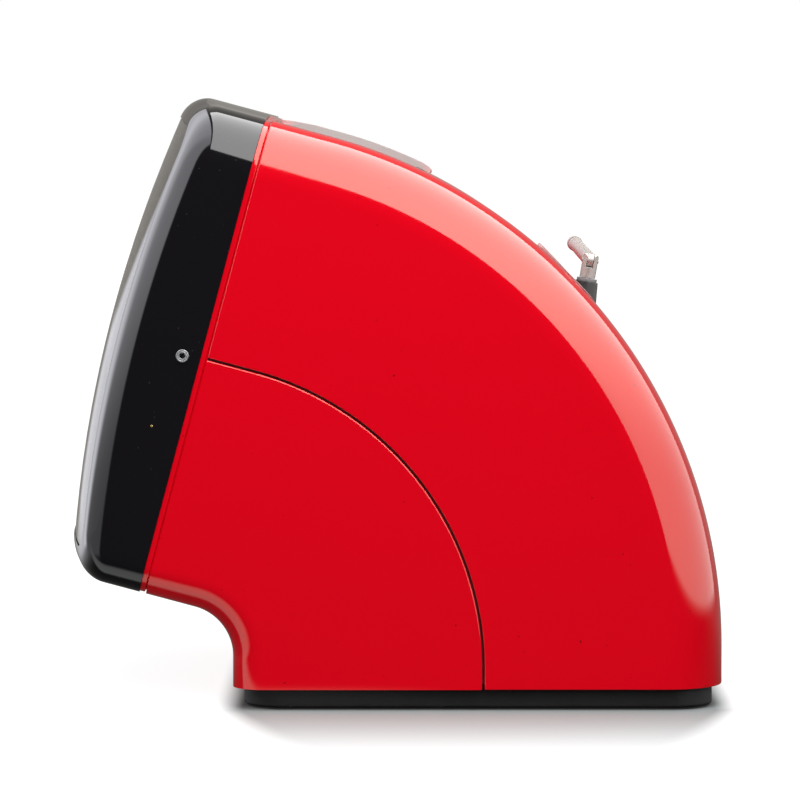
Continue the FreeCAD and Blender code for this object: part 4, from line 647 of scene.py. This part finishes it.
# Rear cover: the top, the back and the upper side panels in one glossy red arc of 310 mm radius.
# It is slotted for air in the back and opened for the control tray, the aerial and the mains inlet.
seam_high = SEAM_R + SEAM_HALF_GAP
REAR_Y = BACK_Y + BACK_R
cover_shell = draw("cover_shell", leaning(FRONT, seam_base + seam_high), leaning(FRONT, BACK_R), leaning(0, BACK_R),
                   (BACK_Y, BACK_Z, -SWEEP), (REAR_Y, FLOOR_Z), (SEAM_Y + seam_high, FLOOR_Z),
                   (SEAM_Y + seam_high, SEAM_Z), (SEAM_Y, SEAM_Z, SWEEP))
thicken(-HALF, HALF)


def on_crown(vert):
    y, z = vert.co.y, vert.co.z
    return abs(abs(vert.co.x) - HALF) < NEAR and (
        abs(math.hypot(y - BACK_Y, z - BACK_Z) - BACK_R) < NEAR
        or abs(up_of(y, z) - BACK_R) < NEAR
        or abs(y - REAR_Y) < NEAR)


round_off(lambda edge: all(on_crown(vert) for vert in edge.verts) and not along(edge, (1, 0, 0)), CROWN_ROUND, 20)
hold_flat(CROWN_ROUND)
open_skin(cover_shell, seam_high)
break_edges(cover_shell, 0.0006, 50)
cover_cutter = blank("cover_cutter")
VENT_PITCH, VENT_ROWS, VENT_FIRST, VENT_SPAN, VENT_SLOT = 0.084, 9, 62, 18, (0.072, 0.004, 0.018)
for row in range(VENT_ROWS):
    angle = math.radians(VENT_FIRST + VENT_SPAN * row / (VENT_ROWS - 1))
    outward = (0, math.sin(angle), math.cos(angle))
    for column in (-1, 0, 1):
        slot_block((VENT_PITCH * column, BACK_Y + BACK_R * outward[1], BACK_Z + BACK_R * outward[2]),
                   VENT_SLOT, outward, -angle)
TRAY_X, TRAY_AHEAD, TRAY_BEHIND, TRAY_GAP = 0.075, 0.027, 0.058, 0.0003
tray_middle = leaning((TRAY_AHEAD - TRAY_BEHIND) / 2, BACK_R)
bpy.ops.mesh.primitive_cube_add(size=1, location=(0, *tray_middle), rotation=(-LEAN, 0, 0),
                                scale=(2 * (TRAY_X + TRAY_GAP), TRAY_AHEAD + TRAY_BEHIND + 2 * TRAY_GAP, 0.03))
AERIAL_X, AERIAL_HOLE = 0.105, 0.0085
aerial_angle = math.radians(47.8)
aerial_y = BACK_Y + BACK_R * math.sin(aerial_angle)
aerial_z = BACK_Z + BACK_R * math.cos(aerial_angle)
AERIAL_LEAN = math.radians(10)
bpy.ops.mesh.primitive_cylinder_add(vertices=48, radius=AERIAL_HOLE, depth=0.03, rotation=(-AERIAL_LEAN, 0, 0),
                                    location=(AERIAL_X, aerial_y, aerial_z))
INLET_X, INLET_Z, INLET_OPENING = 0.060, 0.0335, (0.020, 0.018, 0.012)
bpy.ops.mesh.primitive_cube_add(size=1, location=(INLET_X, REAR_Y, INLET_Z), scale=INLET_OPENING)
cut_out(cover_shell, cover_cutter)
complete(cover_shell, red_shell, "set", "red_shell", "rear_cover")


# Control tray: a dark matt moulding let into the top, flush with the cover, with a flat floor for the controls.
# Its edges are softly broken; two nylon bushes pressed into the floor guide the handle's posts.
def copied(name, node):
    """A copy of a CAD node's mesh, merged and freed of its triangles, and open for editing."""
    piece = bpy.data.objects.new(name, nodes[node].data.copy())
    piece.data.name = name
    bpy.context.collection.objects.link(piece)
    choose(piece)
    bpy.ops.mesh.customdata_custom_splitnormals_clear()
    bpy.ops.object.mode_set(mode="EDIT")
    bpy.ops.mesh.select_mode(type="VERT")
    bpy.ops.mesh.select_all(action="SELECT")
    bpy.ops.mesh.remove_doubles(threshold=1e-6)
    bpy.ops.mesh.mark_sharp(clear=True)
    bpy.ops.mesh.dissolve_limited(angle_limit=math.radians(0.3))
    return piece


def eased_copy(name, node, width, material, body, slot):
    """A copy of a CAD node with its sharp edges rounded by that much, which stands for the node."""
    piece = copied(name, node)
    break_edges(piece, width)
    complete(piece, material, body, slot, node)


tray_plastic = moulded("tray_plastic", (0.012, 0.012, 0.0125), (0.018, 0.018, 0.0185), 60, (0.45, 0.6), 1800, 0.00015,
                       dust=(260, 0.7, (0.05, 0.048, 0.045)))
eased_copy("tray_recess", "control_tray", 0.0004, tray_plastic, "set", "tray_plastic")
eased_copy("post_bushes", "handle_bushes", 0.0003, tray_plastic, "set", "tray_plastic")


# Carry handle: a strap of satin anodised metal that follows the top, with a deeper grip over the tray.
# It rises 26 mm on two steel posts, which slide in the tray's bushes and are held by clips below.
# The metal's grey is its own; its pinkish cast is a painted reflection of the red cabinet.
handle_metal = metal("handle_metal", (0.53, 0.465, 0.45), (0.42, 0.58), (1, 12, 12), 0.12)
tune(handle_metal, {"Specular IOR Level": 0.15})
STRAP_IN = BACK_R + 0.0003
STRAP_OUT = STRAP_IN + 0.0038
STRAP_AHEAD, STRAP_ANGLE, STRAP_HALF = 0.035, 11.7, 0.013
GRIP, GRIP_AHEAD, GRIP_ANGLE = 0.0022, 0.0235, 9.9


def on_top(radius, degrees):
    """The place (y, z) at that radius about the arc's centre, that far behind the top's straight part."""
    angle = math.radians(SWEEP - degrees)
    return BACK_Y + radius * math.cos(angle), BACK_Z + radius * math.sin(angle)


NOSE, TAIL = 0.0017, 0.0014
handle_strap = draw("handle_strap_bar", leaning(STRAP_AHEAD, STRAP_IN), leaning(STRAP_AHEAD, STRAP_IN + NOSE),
                    leaning(0.026, STRAP_OUT - 0.0009), leaning(0.014, STRAP_OUT), leaning(0, STRAP_OUT),
                    (BACK_Y, BACK_Z, 1.3 - STRAP_ANGLE), on_top(STRAP_OUT - 0.0005, STRAP_ANGLE - 0.65),
                    on_top(STRAP_OUT - 0.0013, STRAP_ANGLE - 0.2), on_top(STRAP_IN + TAIL, STRAP_ANGLE),
                    on_top(STRAP_IN, STRAP_ANGLE),
                    (BACK_Y, BACK_Z, STRAP_ANGLE - GRIP_ANGLE), on_top(STRAP_IN - GRIP, GRIP_ANGLE),
                    (BACK_Y, BACK_Z, GRIP_ANGLE), leaning(GRIP_AHEAD, STRAP_IN - GRIP), leaning(GRIP_AHEAD, STRAP_IN))
thicken(-STRAP_HALF, STRAP_HALF)


def at_corner(edge):
    length = edge.calc_length()
    return min(abs(length - NOSE), abs(length - TAIL)) < NEAR and not along(edge, (1, 0, 0))


round_off(at_corner, 0.007, 8)
break_edges(handle_strap, 0.0009)
complete(handle_strap, handle_metal, "handle", "handle_metal", "handle_strap")
eased_copy("strap_posts", "handle_posts", 0.0003, zinc_steel, "handle", "zinc_steel")


# Sliders: three black caps, saddled for the fingertip, for the volume, the brightness and the contrast.
# Each is moulded with its stem, which drops through a slot in the tray, and has a white line let into it.
SLIDER_Y, SLIDER_UP = 0.014, 0.2987
knob_plastic = moulded("knob_plastic", (0.015, 0.015, 0.015), (0.02, 0.02, 0.02), 80, (0.25, 0.35), 900, 0.00005)
line_white = moulded("line_white", (0.7, 0.69, 0.65), (0.6, 0.59, 0.55), 400, (0.4, 0.55), 2500, 0.00003)


def copy_beside(piece, name, step):
    """A copy of the piece with its own mesh, moved by the step."""
    choose(piece)
    bpy.ops.object.duplicate(linked=False)
    copy = bpy.context.object
    copy.name = name
    copy.data.name = name
    copy.location = step
    bpy.ops.object.transform_apply()
    return copy


CAP_HALF_X, CAP_FOOT, CAP_TOP, CAP_HIGH = 0.005, 0.006, 0.0051, 0.006
SADDLE_HALF, SADDLE_HIGH = 0.0015, 0.0045
STEM_SIZE, LINE_SIZE = (0.0028, 0.006, 0.0083), (0.0076, 0.0009, 0.0004)
first_cap = draw("slider_cap", (SLIDER_Y - CAP_FOOT, SLIDER_UP), (SLIDER_Y + CAP_FOOT, SLIDER_UP),
                 (SLIDER_Y + CAP_TOP, SLIDER_UP + CAP_HIGH), (SLIDER_Y + SADDLE_HALF, SLIDER_UP + SADDLE_HIGH),
                 (SLIDER_Y - SADDLE_HALF, SLIDER_UP + SADDLE_HIGH), (SLIDER_Y - CAP_TOP, SLIDER_UP + CAP_HIGH))
thicken(-CAP_HALF_X, CAP_HALF_X)
break_edges(first_cap, 0.0005)
bpy.ops.object.mode_set(mode="EDIT")
bpy.ops.mesh.select_all(action="DESELECT")
bpy.ops.mesh.primitive_cube_add(size=1, location=(0, SLIDER_Y, SLIDER_UP - 0.004), scale=STEM_SIZE)
bpy.ops.object.mode_set(mode="OBJECT")
first_line = begin("slider_line", bpy.ops.mesh.primitive_cube_add, size=1,
                   location=(0, SLIDER_Y, SLIDER_UP + 0.0044), scale=LINE_SIZE)
bpy.ops.mesh.bevel(offset=0.0001, segments=2)
bpy.ops.object.mode_set(mode="OBJECT")
for label, x in (("volume", -0.028), ("brightness", -0.044), ("contrast", -0.060)):
    cap = copy_beside(first_cap, label + "_cap", (x, 0, 0))
    lean_back(cap)
    complete(cap, knob_plastic, label, "knob_plastic", label + "_slider")
    line = copy_beside(first_line, label + "_line", (x, 0, 0))
    lean_back(line)
    complete(line, line_white, label, "knob_plastic")
bpy.data.objects.remove(first_cap)
bpy.data.objects.remove(first_line)


# Push buttons: four light grey program keys and a red power key, moulded with a square stem.
# The top is dished for the fingertip, and the stems press on the bank of switches under the tray.
BUTTON_X, BUTTON_Y, BUTTON_LOW, BUTTON_HIGH, BUTTON_PITCH = 0.031, -0.012, 0.2969, 0.0065, 0.013
button_plastic = moulded("button_plastic", (0.55, 0.55, 0.53), (0.5, 0.5, 0.48), 80, (0.25, 0.35), 900, 0.00005)
power_plastic = moulded("power_plastic", (0.6, 0.02, 0.02), (0.5, 0.015, 0.015), 80, (0.2, 0.3), 900, 0.00005)
first_key = begin("first_key", bpy.ops.mesh.primitive_cube_add, size=1,
                  location=(BUTTON_X, BUTTON_Y, BUTTON_LOW + BUTTON_HIGH / 2), scale=(0.014, 0.010, BUTTON_HIGH))
round_off(lambda edge: along(edge, (0, 0, 1)), 0.0015, 4)
bpy.ops.object.mode_set(mode="OBJECT")
DISH, DISH_R, KEY_STEM = 0.0005, 0.036, (0.005, 0.005, 0.010)
dish_cutter = blank("dish_cutter")
bpy.ops.mesh.primitive_cylinder_add(vertices=240, radius=DISH_R, depth=0.03, rotation=(math.pi / 2, 0, 0),
                                    location=(BUTTON_X, BUTTON_Y, BUTTON_LOW + BUTTON_HIGH - DISH + DISH_R))
cut_out(first_key, dish_cutter)
break_edges(first_key, 0.0005)
bpy.ops.object.mode_set(mode="EDIT")
bpy.ops.mesh.select_all(action="DESELECT")
bpy.ops.mesh.primitive_cube_add(size=1, location=(BUTTON_X, BUTTON_Y, BUTTON_LOW - KEY_STEM[2] / 2), scale=KEY_STEM)
bpy.ops.object.mode_set(mode="OBJECT")
keys = [(f"program_{number}", button_plastic, "button_plastic", f"program_button_{number}") for number in range(1, 5)]
keys.append(("power", power_plastic, "power_plastic", "power_button"))
for index, (label, plastic, slot, node) in enumerate(keys):
    key = copy_beside(first_key, label + "_key", (0, BUTTON_PITCH * index, 0))
    lean_back(key)
    complete(key, plastic, label, slot, node)
bpy.data.objects.remove(first_key)


# Tuning wheel: a black wheel with twenty finger notches round its rim, standing up through a slot.
# It is pressed on the tuner's steel shaft.
eased_copy("notched_wheel", "tuning_wheel", 0.0003, knob_plastic, "tuning", "knob_plastic")


# Aerial: a black socket in the back, a dull nickel post that turns in it, and four drawn tubes on a hinge pin.
# A satin plate under the socket spreads the load on the cover. The tip is a turned cap.
aerial_metal = metal("aerial_metal", (0.4, 0.365, 0.34), (0.36, 0.5), (1, 1, 1), 0.5)
aerial = (Matrix.Translation((AERIAL_X, aerial_y, aerial_z)) @ Matrix.Rotation(-AERIAL_LEAN, 4, "X"))
PLATE_AHEAD, PLATE_BEHIND, PLATE_THIN, PLATE_THICK = 7.2, 1.2, 0.0004, 0.0018
PLATE_IN, PLATE_HALF, PLATE_HOLE = BACK_R + 0.00015, 0.015, 0.0093


def on_back(radius, degrees):
    """The place (y, z) at that radius about the back's centre, that far behind the aerial."""
    angle = aerial_angle + math.radians(degrees)
    return BACK_Y + radius * math.sin(angle), BACK_Z + radius * math.cos(angle)


load_plate = draw("load_plate", on_back(PLATE_IN, -PLATE_AHEAD), on_back(PLATE_IN + PLATE_THICK, -PLATE_AHEAD),
                  *(on_back(PLATE_IN + PLATE_THICK - (PLATE_THICK - PLATE_THIN) * step / 8, -PLATE_AHEAD + step * 0.5)
                    for step in range(1, 9)),
                  (BACK_Y, BACK_Z, 4.0 - PLATE_AHEAD - PLATE_BEHIND), on_back(PLATE_IN, PLATE_BEHIND),
                  (BACK_Y, BACK_Z, PLATE_AHEAD + PLATE_BEHIND))
thicken(AERIAL_X - PLATE_HALF, AERIAL_X + PLATE_HALF)
round_off(lambda edge: min(abs(edge.calc_length() - thickness) for thickness in (PLATE_THIN, PLATE_THICK)) < NEAR,
          0.0045, 6)
bpy.ops.object.mode_set(mode="OBJECT")
plate_cutter = blank("plate_cutter")
bpy.ops.mesh.primitive_cylinder_add(vertices=48, radius=PLATE_HOLE, depth=0.05, rotation=(-AERIAL_LEAN, 0, 0),
                                    location=(AERIAL_X, aerial_y, aerial_z))
cut_out(load_plate, plate_cutter)
break_edges(load_plate, 0.00012)
plate_metal = metal("plate_metal", (0.42, 0.34, 0.33), (0.42, 0.58), (1, 6, 6), 0.12)
complete(load_plate, plate_metal, "set", "plate_metal", "antenna_plate")
SOCKET_TOP, SOCKET_DEEP, SOCKET_R, SOCKET_TOP_R = 0.0060, 0.018, 0.0090, 0.0068
SOCKET_LIP, SOCKET_BORE = 0.0036, 0.0105
aerial_socket = begin("aerial_socket", bpy.ops.mesh.primitive_cone_add, vertices=48, radius1=SOCKET_R,
                      radius2=SOCKET_TOP_R, depth=SOCKET_DEEP + SOCKET_TOP,
                      location=(0, 0, (SOCKET_TOP - SOCKET_DEEP) / 2))
pick("FACE", lambda face: face.normal.z > 0.99)
bpy.ops.mesh.inset(thickness=SOCKET_LIP)
bpy.ops.mesh.extrude_region_move(TRANSFORM_OT_translate={"value": (0, 0, -SOCKET_BORE)})
break_edges(aerial_socket, 0.0003)
aerial_socket.matrix_world = aerial
bpy.ops.object.transform_apply()
socket_plastic = moulded("socket_plastic", (0.010, 0.009, 0.009), (0.016, 0.014, 0.014), 90, (0.4, 0.55), 900, 0.0001)
complete(aerial_socket, socket_plastic, "set", "socket_plastic", "antenna_socket")
COLLAR_R, COLLAR_HIGH, COLLAR_WALL = 0.0060, 0.0019, 0.0027
socket_collar = begin("socket_collar", bpy.ops.mesh.primitive_cylinder_add, vertices=48, radius=COLLAR_R,
                      depth=COLLAR_HIGH, end_fill_type="NOTHING", location=(0, 0, SOCKET_TOP + COLLAR_HIGH / 2))
modify(socket_collar, "SOLIDIFY", thickness=COLLAR_WALL, offset=-1)
break_edges(socket_collar, 0.0003)
socket_collar.matrix_world = aerial
bpy.ops.object.transform_apply()
collar_metal = metal("collar_metal", (0.2, 0.2, 0.2), (0.4, 0.55), (1, 1, 1), 0.3)
complete(socket_collar, collar_metal, "set", "socket_plastic")
turning_post = copied("turning_post", "antenna_post")
bpy.ops.object.mode_set(mode="OBJECT")
shoulders = begin("shoulders", bpy.ops.mesh.primitive_cube_add, size=1, location=(0, 0, 0.0073),
                  scale=(0.02, 0.0095, 0.0306))
round_off(lambda edge: along(edge, (1, 0, 0)) and edge.verts[0].co.z > 0.02, 0.0024, 8)
bpy.ops.object.mode_set(mode="OBJECT")
shoulders.matrix_world = aerial
bpy.ops.object.transform_apply()
modify(turning_post, "BOOLEAN", operation="INTERSECT", object=shoulders, solver="EXACT")
bpy.data.objects.remove(shoulders)
break_edges(turning_post, 0.0003)
complete(turning_post, aerial_metal, "aerial_post", "aerial_chrome", "antenna_post")
for name, node, width, body in (
        ("hinge_pin", "antenna_pin", 0.0002, "aerial_post"),
        ("outer_tube", "antenna_rod_1", 0.00015, "aerial_arm"),
        ("second_tube", "antenna_rod_2", 0.00015, "aerial_section_2"),
        ("third_tube", "antenna_rod_3", 0.00015, "aerial_section_3"),
        ("inner_rod", "antenna_rod_4", 0.00015, "aerial_section_4"),
        ("tip_cap", "antenna_tip", 0.0004, "aerial_section_4")):
    eased_copy(name, node, width, aerial_metal, body, "aerial_chrome")


# Earphone jack: a chromed barrel for a 3.5 mm plug in the bezel's side, held by a thin ring nut.
# A small brass pin is pressed into the bezel below it.
jack_chrome = metal("jack_chrome", (0.42, 0.42, 0.43), (0.2, 0.32), (1, 1, 1), 0.6)
eased_copy("jack_barrel", "earphone_jack", 0.0002, jack_chrome, "set", "jack_chrome")
eased_copy("ring_nut", "jack_nut", 0.0003, jack_chrome, "set", "jack_chrome")
pin_brass = metal("pin_brass", (0.6, 0.42, 0.15), (0.2, 0.3), (1, 1, 1), 0.6)
PIN_R, PIN_LONG, PIN_SPOT = 0.0007, 0.001, (-0.1385, 0.1668)
bezel_pin = begin("bezel_pin", bpy.ops.mesh.primitive_cylinder_add, vertices=20, radius=PIN_R, depth=PIN_LONG,
                  location=(HALF - 0.0002, *PIN_SPOT), rotation=(0, math.pi / 2, 0))
round_off(lambda edge: all(vert.co.x > HALF for vert in edge.verts), 0.0002, 3)
complete(bezel_pin, pin_brass, "set", "pin_brass")


# Mains inlet: a black moulded socket low in the back, with two brass pins for a plug-in cord.
# It is clipped into the cover from inside.
inlet_plastic = moulded("inlet_plastic", (0.012, 0.012, 0.012), (0.018, 0.018, 0.018), 90, (0.4, 0.55), 900, 0.0001)
eased_copy("inlet_socket", "mains_inlet", 0.0004, inlet_plastic, "set", "inlet_plastic")
eased_copy("brass_pins", "inlet_pins", 0.0004, pin_brass, "set", "pin_brass")


# Studio: a pale floor that carries the set's shadow, partly real and partly painted, and a white background.
# What the gloss shows is a long softbox overhead, a window on the screen's side, and a dark room behind the camera.
def calc(operation, *terms):
    """Works out an operation on numbers and on values of a material or of the world."""
    tree = next(term.id_data for term in terms if hasattr(term, "id_data"))
    node = tree.nodes.new("ShaderNodeMath")
    node.operation = operation
    for socket, term in zip(node.inputs, terms):
        if hasattr(term, "id_data"):
            tree.links.new(term, socket)
        else:
            socket.default_value = term
    return node.outputs[0]


def plus(first, last):
    return calc("ADD", first, last)


def minus(first, last):
    return calc("SUBTRACT", first, last)


def times(first, last):
    return calc("MULTIPLY", first, last)


def distance(first, last, least=0.0):
    """The length of two legs at right angles, kept off zero by the square of a least length."""
    return calc("SQRT", plus(plus(times(first, first), times(last, last)), least))


def rise(term, low, high):
    """0 below the low value, 1 above the high one, and smooth between them."""
    return ramp(term, low, high, kind="SMOOTHSTEP")


ROOM_DARK, BACKDROP, FAR_SIDE = (0.012, 0.012, 0.014), (0.3, 0.285, 0.265), (0.42, 0.4, 0.37)
SOFTBOX, SOFTBOX_END = (6.2, 6.2, 6.2), (2.7, 2.7, 2.7)
WINDOW, FAINT_WINDOW = (4.2, 4.2, 4.5), (1.0, 1.0, 1.07)


def window_light(nearer, turn, bright, dim):
    """What the gloss shows ahead of the screen: a bright window, dimmer from the turn on, and the dark room."""
    return blend(rise(nearer, 0.7, 0.8), blend(rise(turn, -0.56, -0.22), bright, dim), ROOM_DARK)


floor = begin("floor", bpy.ops.mesh.primitive_plane_add, size=40, location=(0, 0, 0))
bpy.ops.object.mode_set(mode="OBJECT")
floor_white = bpy.data.materials.new("floor_white")
floor_white.use_nodes = True
tune(floor_white, {"Roughness": 1, "Specular IOR Level": 0, "Emission Strength": 1})
tree = floor_white.node_tree
floor_spot = tree.nodes.new("ShaderNodeSeparateXYZ")
tree.links.new(tree.nodes.new("ShaderNodeTexCoord").outputs["Object"], floor_spot.inputs[0])
floor_x, floor_y = floor_spot.outputs["X"], floor_spot.outputs["Y"]
floor_path = tree.nodes.new("ShaderNodeLightPath")
glossy_ray = floor_path.outputs["Is Glossy Ray"]

# The camera sees the floor white by emission, and that emission is held down round the plinth in a painted shadow
# over the real one.
SHADOW_HALF, SHADOW_TAPER, SHADOW_WHITE = 0.138, 0.35, 0.92
sideways = calc("MAXIMUM", minus(calc("ABSOLUTE", floor_x), PLINTH_WIDE / 2), 0)
half_shadow = minus(SHADOW_HALF, times(sideways, SHADOW_TAPER))
endways = calc("MAXIMUM", minus(calc("ABSOLUTE", minus(floor_y, PLINTH_Y)), half_shadow), 0)
fading = calc("DIVIDE", times(endways, 13), plus(1, times(sideways, 12)))
away = distance(sideways, fading)
seen_with_painted_shadow = times(floor_path.outputs["Is Camera Ray"], times(rise(away, -0.022, 0.248), SHADOW_WHITE))

# The gloss sees the room's lights go on in the floor: a strip beside the set, the window and the softbox.
EDGE_X, SCREEN_EDGE, REAR_EDGE, LEAST = 0.155, -0.185, 0.19, 0.0025
strip = times(rise(floor_x, 0.16, 0.18), minus(1, rise(floor_x, 0.22, 0.27)))
beyond = minus(1, times(strip, minus(1, rise(floor_y, -0.05, 0.05))))
reflected = blend(beyond, (1, 1, 1), blend(rise(floor_x, -0.3, 0.3), BACKDROP, ROOM_DARK))
from_side, from_screen = minus(floor_x, EDGE_X), minus(SCREEN_EDGE, floor_y)
reach = distance(from_side, from_screen, LEAST)
toward = calc("DIVIDE", from_side, reach)
far_window = blend(rise(toward, -0.97, -0.5), (0.95, 0.95, 1.0), WINDOW)
sheen = window_light(toward, toward, blend(rise(reach, 0.4, 1.0), (1.2, 1.2, 1.28), far_window), (0.9, 0.9, 0.95))
sheen = blend(rise(toward, -0.986, -0.974), BACKDROP, sheen)
reflected = blend(rise(from_screen, 0.08, 0.4), reflected, sheen)
from_back = minus(floor_y, REAR_EDGE)
astern = calc("DIVIDE", from_side, distance(from_side, from_back, LEAST))
tail = blend(rise(astern, 0.909, 0.918), blend(rise(astern, -0.64, -0.61), FAR_SIDE, SOFTBOX_END), ROOM_DARK)
reflected = blend(rise(from_back, 0.7, 2.2), reflected, tail)
floor_shader = tree.nodes["Principled BSDF"]
tree.links.new(blend(glossy_ray, seen_with_painted_shadow, reflected), floor_shader.inputs["Emission Color"])
tree.links.new(blend(times(glossy_ray, beyond), (0.3, 0.325, 0.325), (0, 0, 0)), floor_shader.inputs["Base Color"])
floor.data.materials.append(floor_white)

studio = bpy.data.worlds.new("studio")
bpy.context.scene.world = studio
studio.use_nodes = True
tree = studio.node_tree
parts = tree.nodes.new("ShaderNodeSeparateXYZ")
tree.links.new(tree.nodes.new("ShaderNodeTexCoord").outputs["Generated"], parts.inputs[0])
nearer, backward, upward = parts.outputs
across = calc("SQRT", calc("MAXIMUM", minus(1, times(nearer, nearer)), 1e-4))
height = calc("DIVIDE", upward, across)
forward = calc("DIVIDE", times(backward, -1), across)
low_side = blend(rise(nearer, -0.7, -0.4), BACKDROP, ROOM_DARK)
softbox = blend(rise(height, 0.2, 0.85), SOFTBOX_END, SOFTBOX)
overhead = blend(rise(nearer, -0.64, -0.61), FAR_SIDE, softbox)
rounded = plus(nearer, times(rise(forward, -0.24, -0.08), 0.09))
overhead = blend(rise(rounded, 0.909, 0.918), overhead, ROOM_DARK)
gloss = blend(rise(forward, -0.5, -0.3), overhead, blend(rise(height, 0.1, 0.2), low_side, overhead))
turned = plus(forward, times(nearer, 0.23))
gloss = blend(rise(turned, 0.09, 0.12), gloss, low_side)
bright = blend(rise(nearer, -0.97, -0.5), FAINT_WINDOW, WINDOW)
dim = blend(rise(height, 0.0, 0.3), (1.05, 1.05, 1.12), (3.0, 3.0, 3.2))
ahead = window_light(nearer, minus(nearer, times(height, 0.9)), bright, dim)
brow = minus(nearer, times(height, 0.088))
ahead = blend(rise(brow, -0.979, -0.969), BACKDROP, ahead)
gloss = blend(rise(turned, 0.17, 0.21), gloss, ahead)
path = tree.nodes.new("ShaderNodeLightPath")
day = blend(upward, (0.33, 0.33, 0.33), (0.68, 0.68, 0.68))
light = blend(path.outputs["Is Glossy Ray"], day, gloss)
light = blend(calc("MAXIMUM", path.outputs["Is Camera Ray"], path.outputs["Is Transmission Ray"]), light, (1, 1, 1))
tree.links.new(light, tree.nodes["Background"].inputs["Color"])

lamp = bpy.data.objects.new("key_lamp", bpy.data.lights.new("key_lamp", "AREA"))
bpy.context.scene.collection.objects.link(lamp)
lamp.data.shape = "RECTANGLE"
lamp.data.size = 0.9
lamp.data.size_y = 1.4
lamp.data.energy = 19
lamp.location = (0.85, 0.05, 1.15)
lamp.rotation_euler = (Vector((0.05, 0, 0.15)) - lamp.location).to_track_quat("-Z", "Y").to_euler()
lamp.visible_glossy = False
lamp.visible_camera = False

camera = bpy.data.objects.new("camera", bpy.data.cameras.new("camera"))
bpy.context.scene.collection.objects.link(camera)
bpy.context.scene.camera = camera
camera.location = (2.36, 0.0054, 0.3265)
camera.rotation_euler = (math.radians(90 - 3.76), 0, math.radians(90))
camera.data.sensor_width = 36
camera.data.lens = 171.3
camera.data.clip_end = 100
bpy.context.scene.view_settings.view_transform = "Standard"
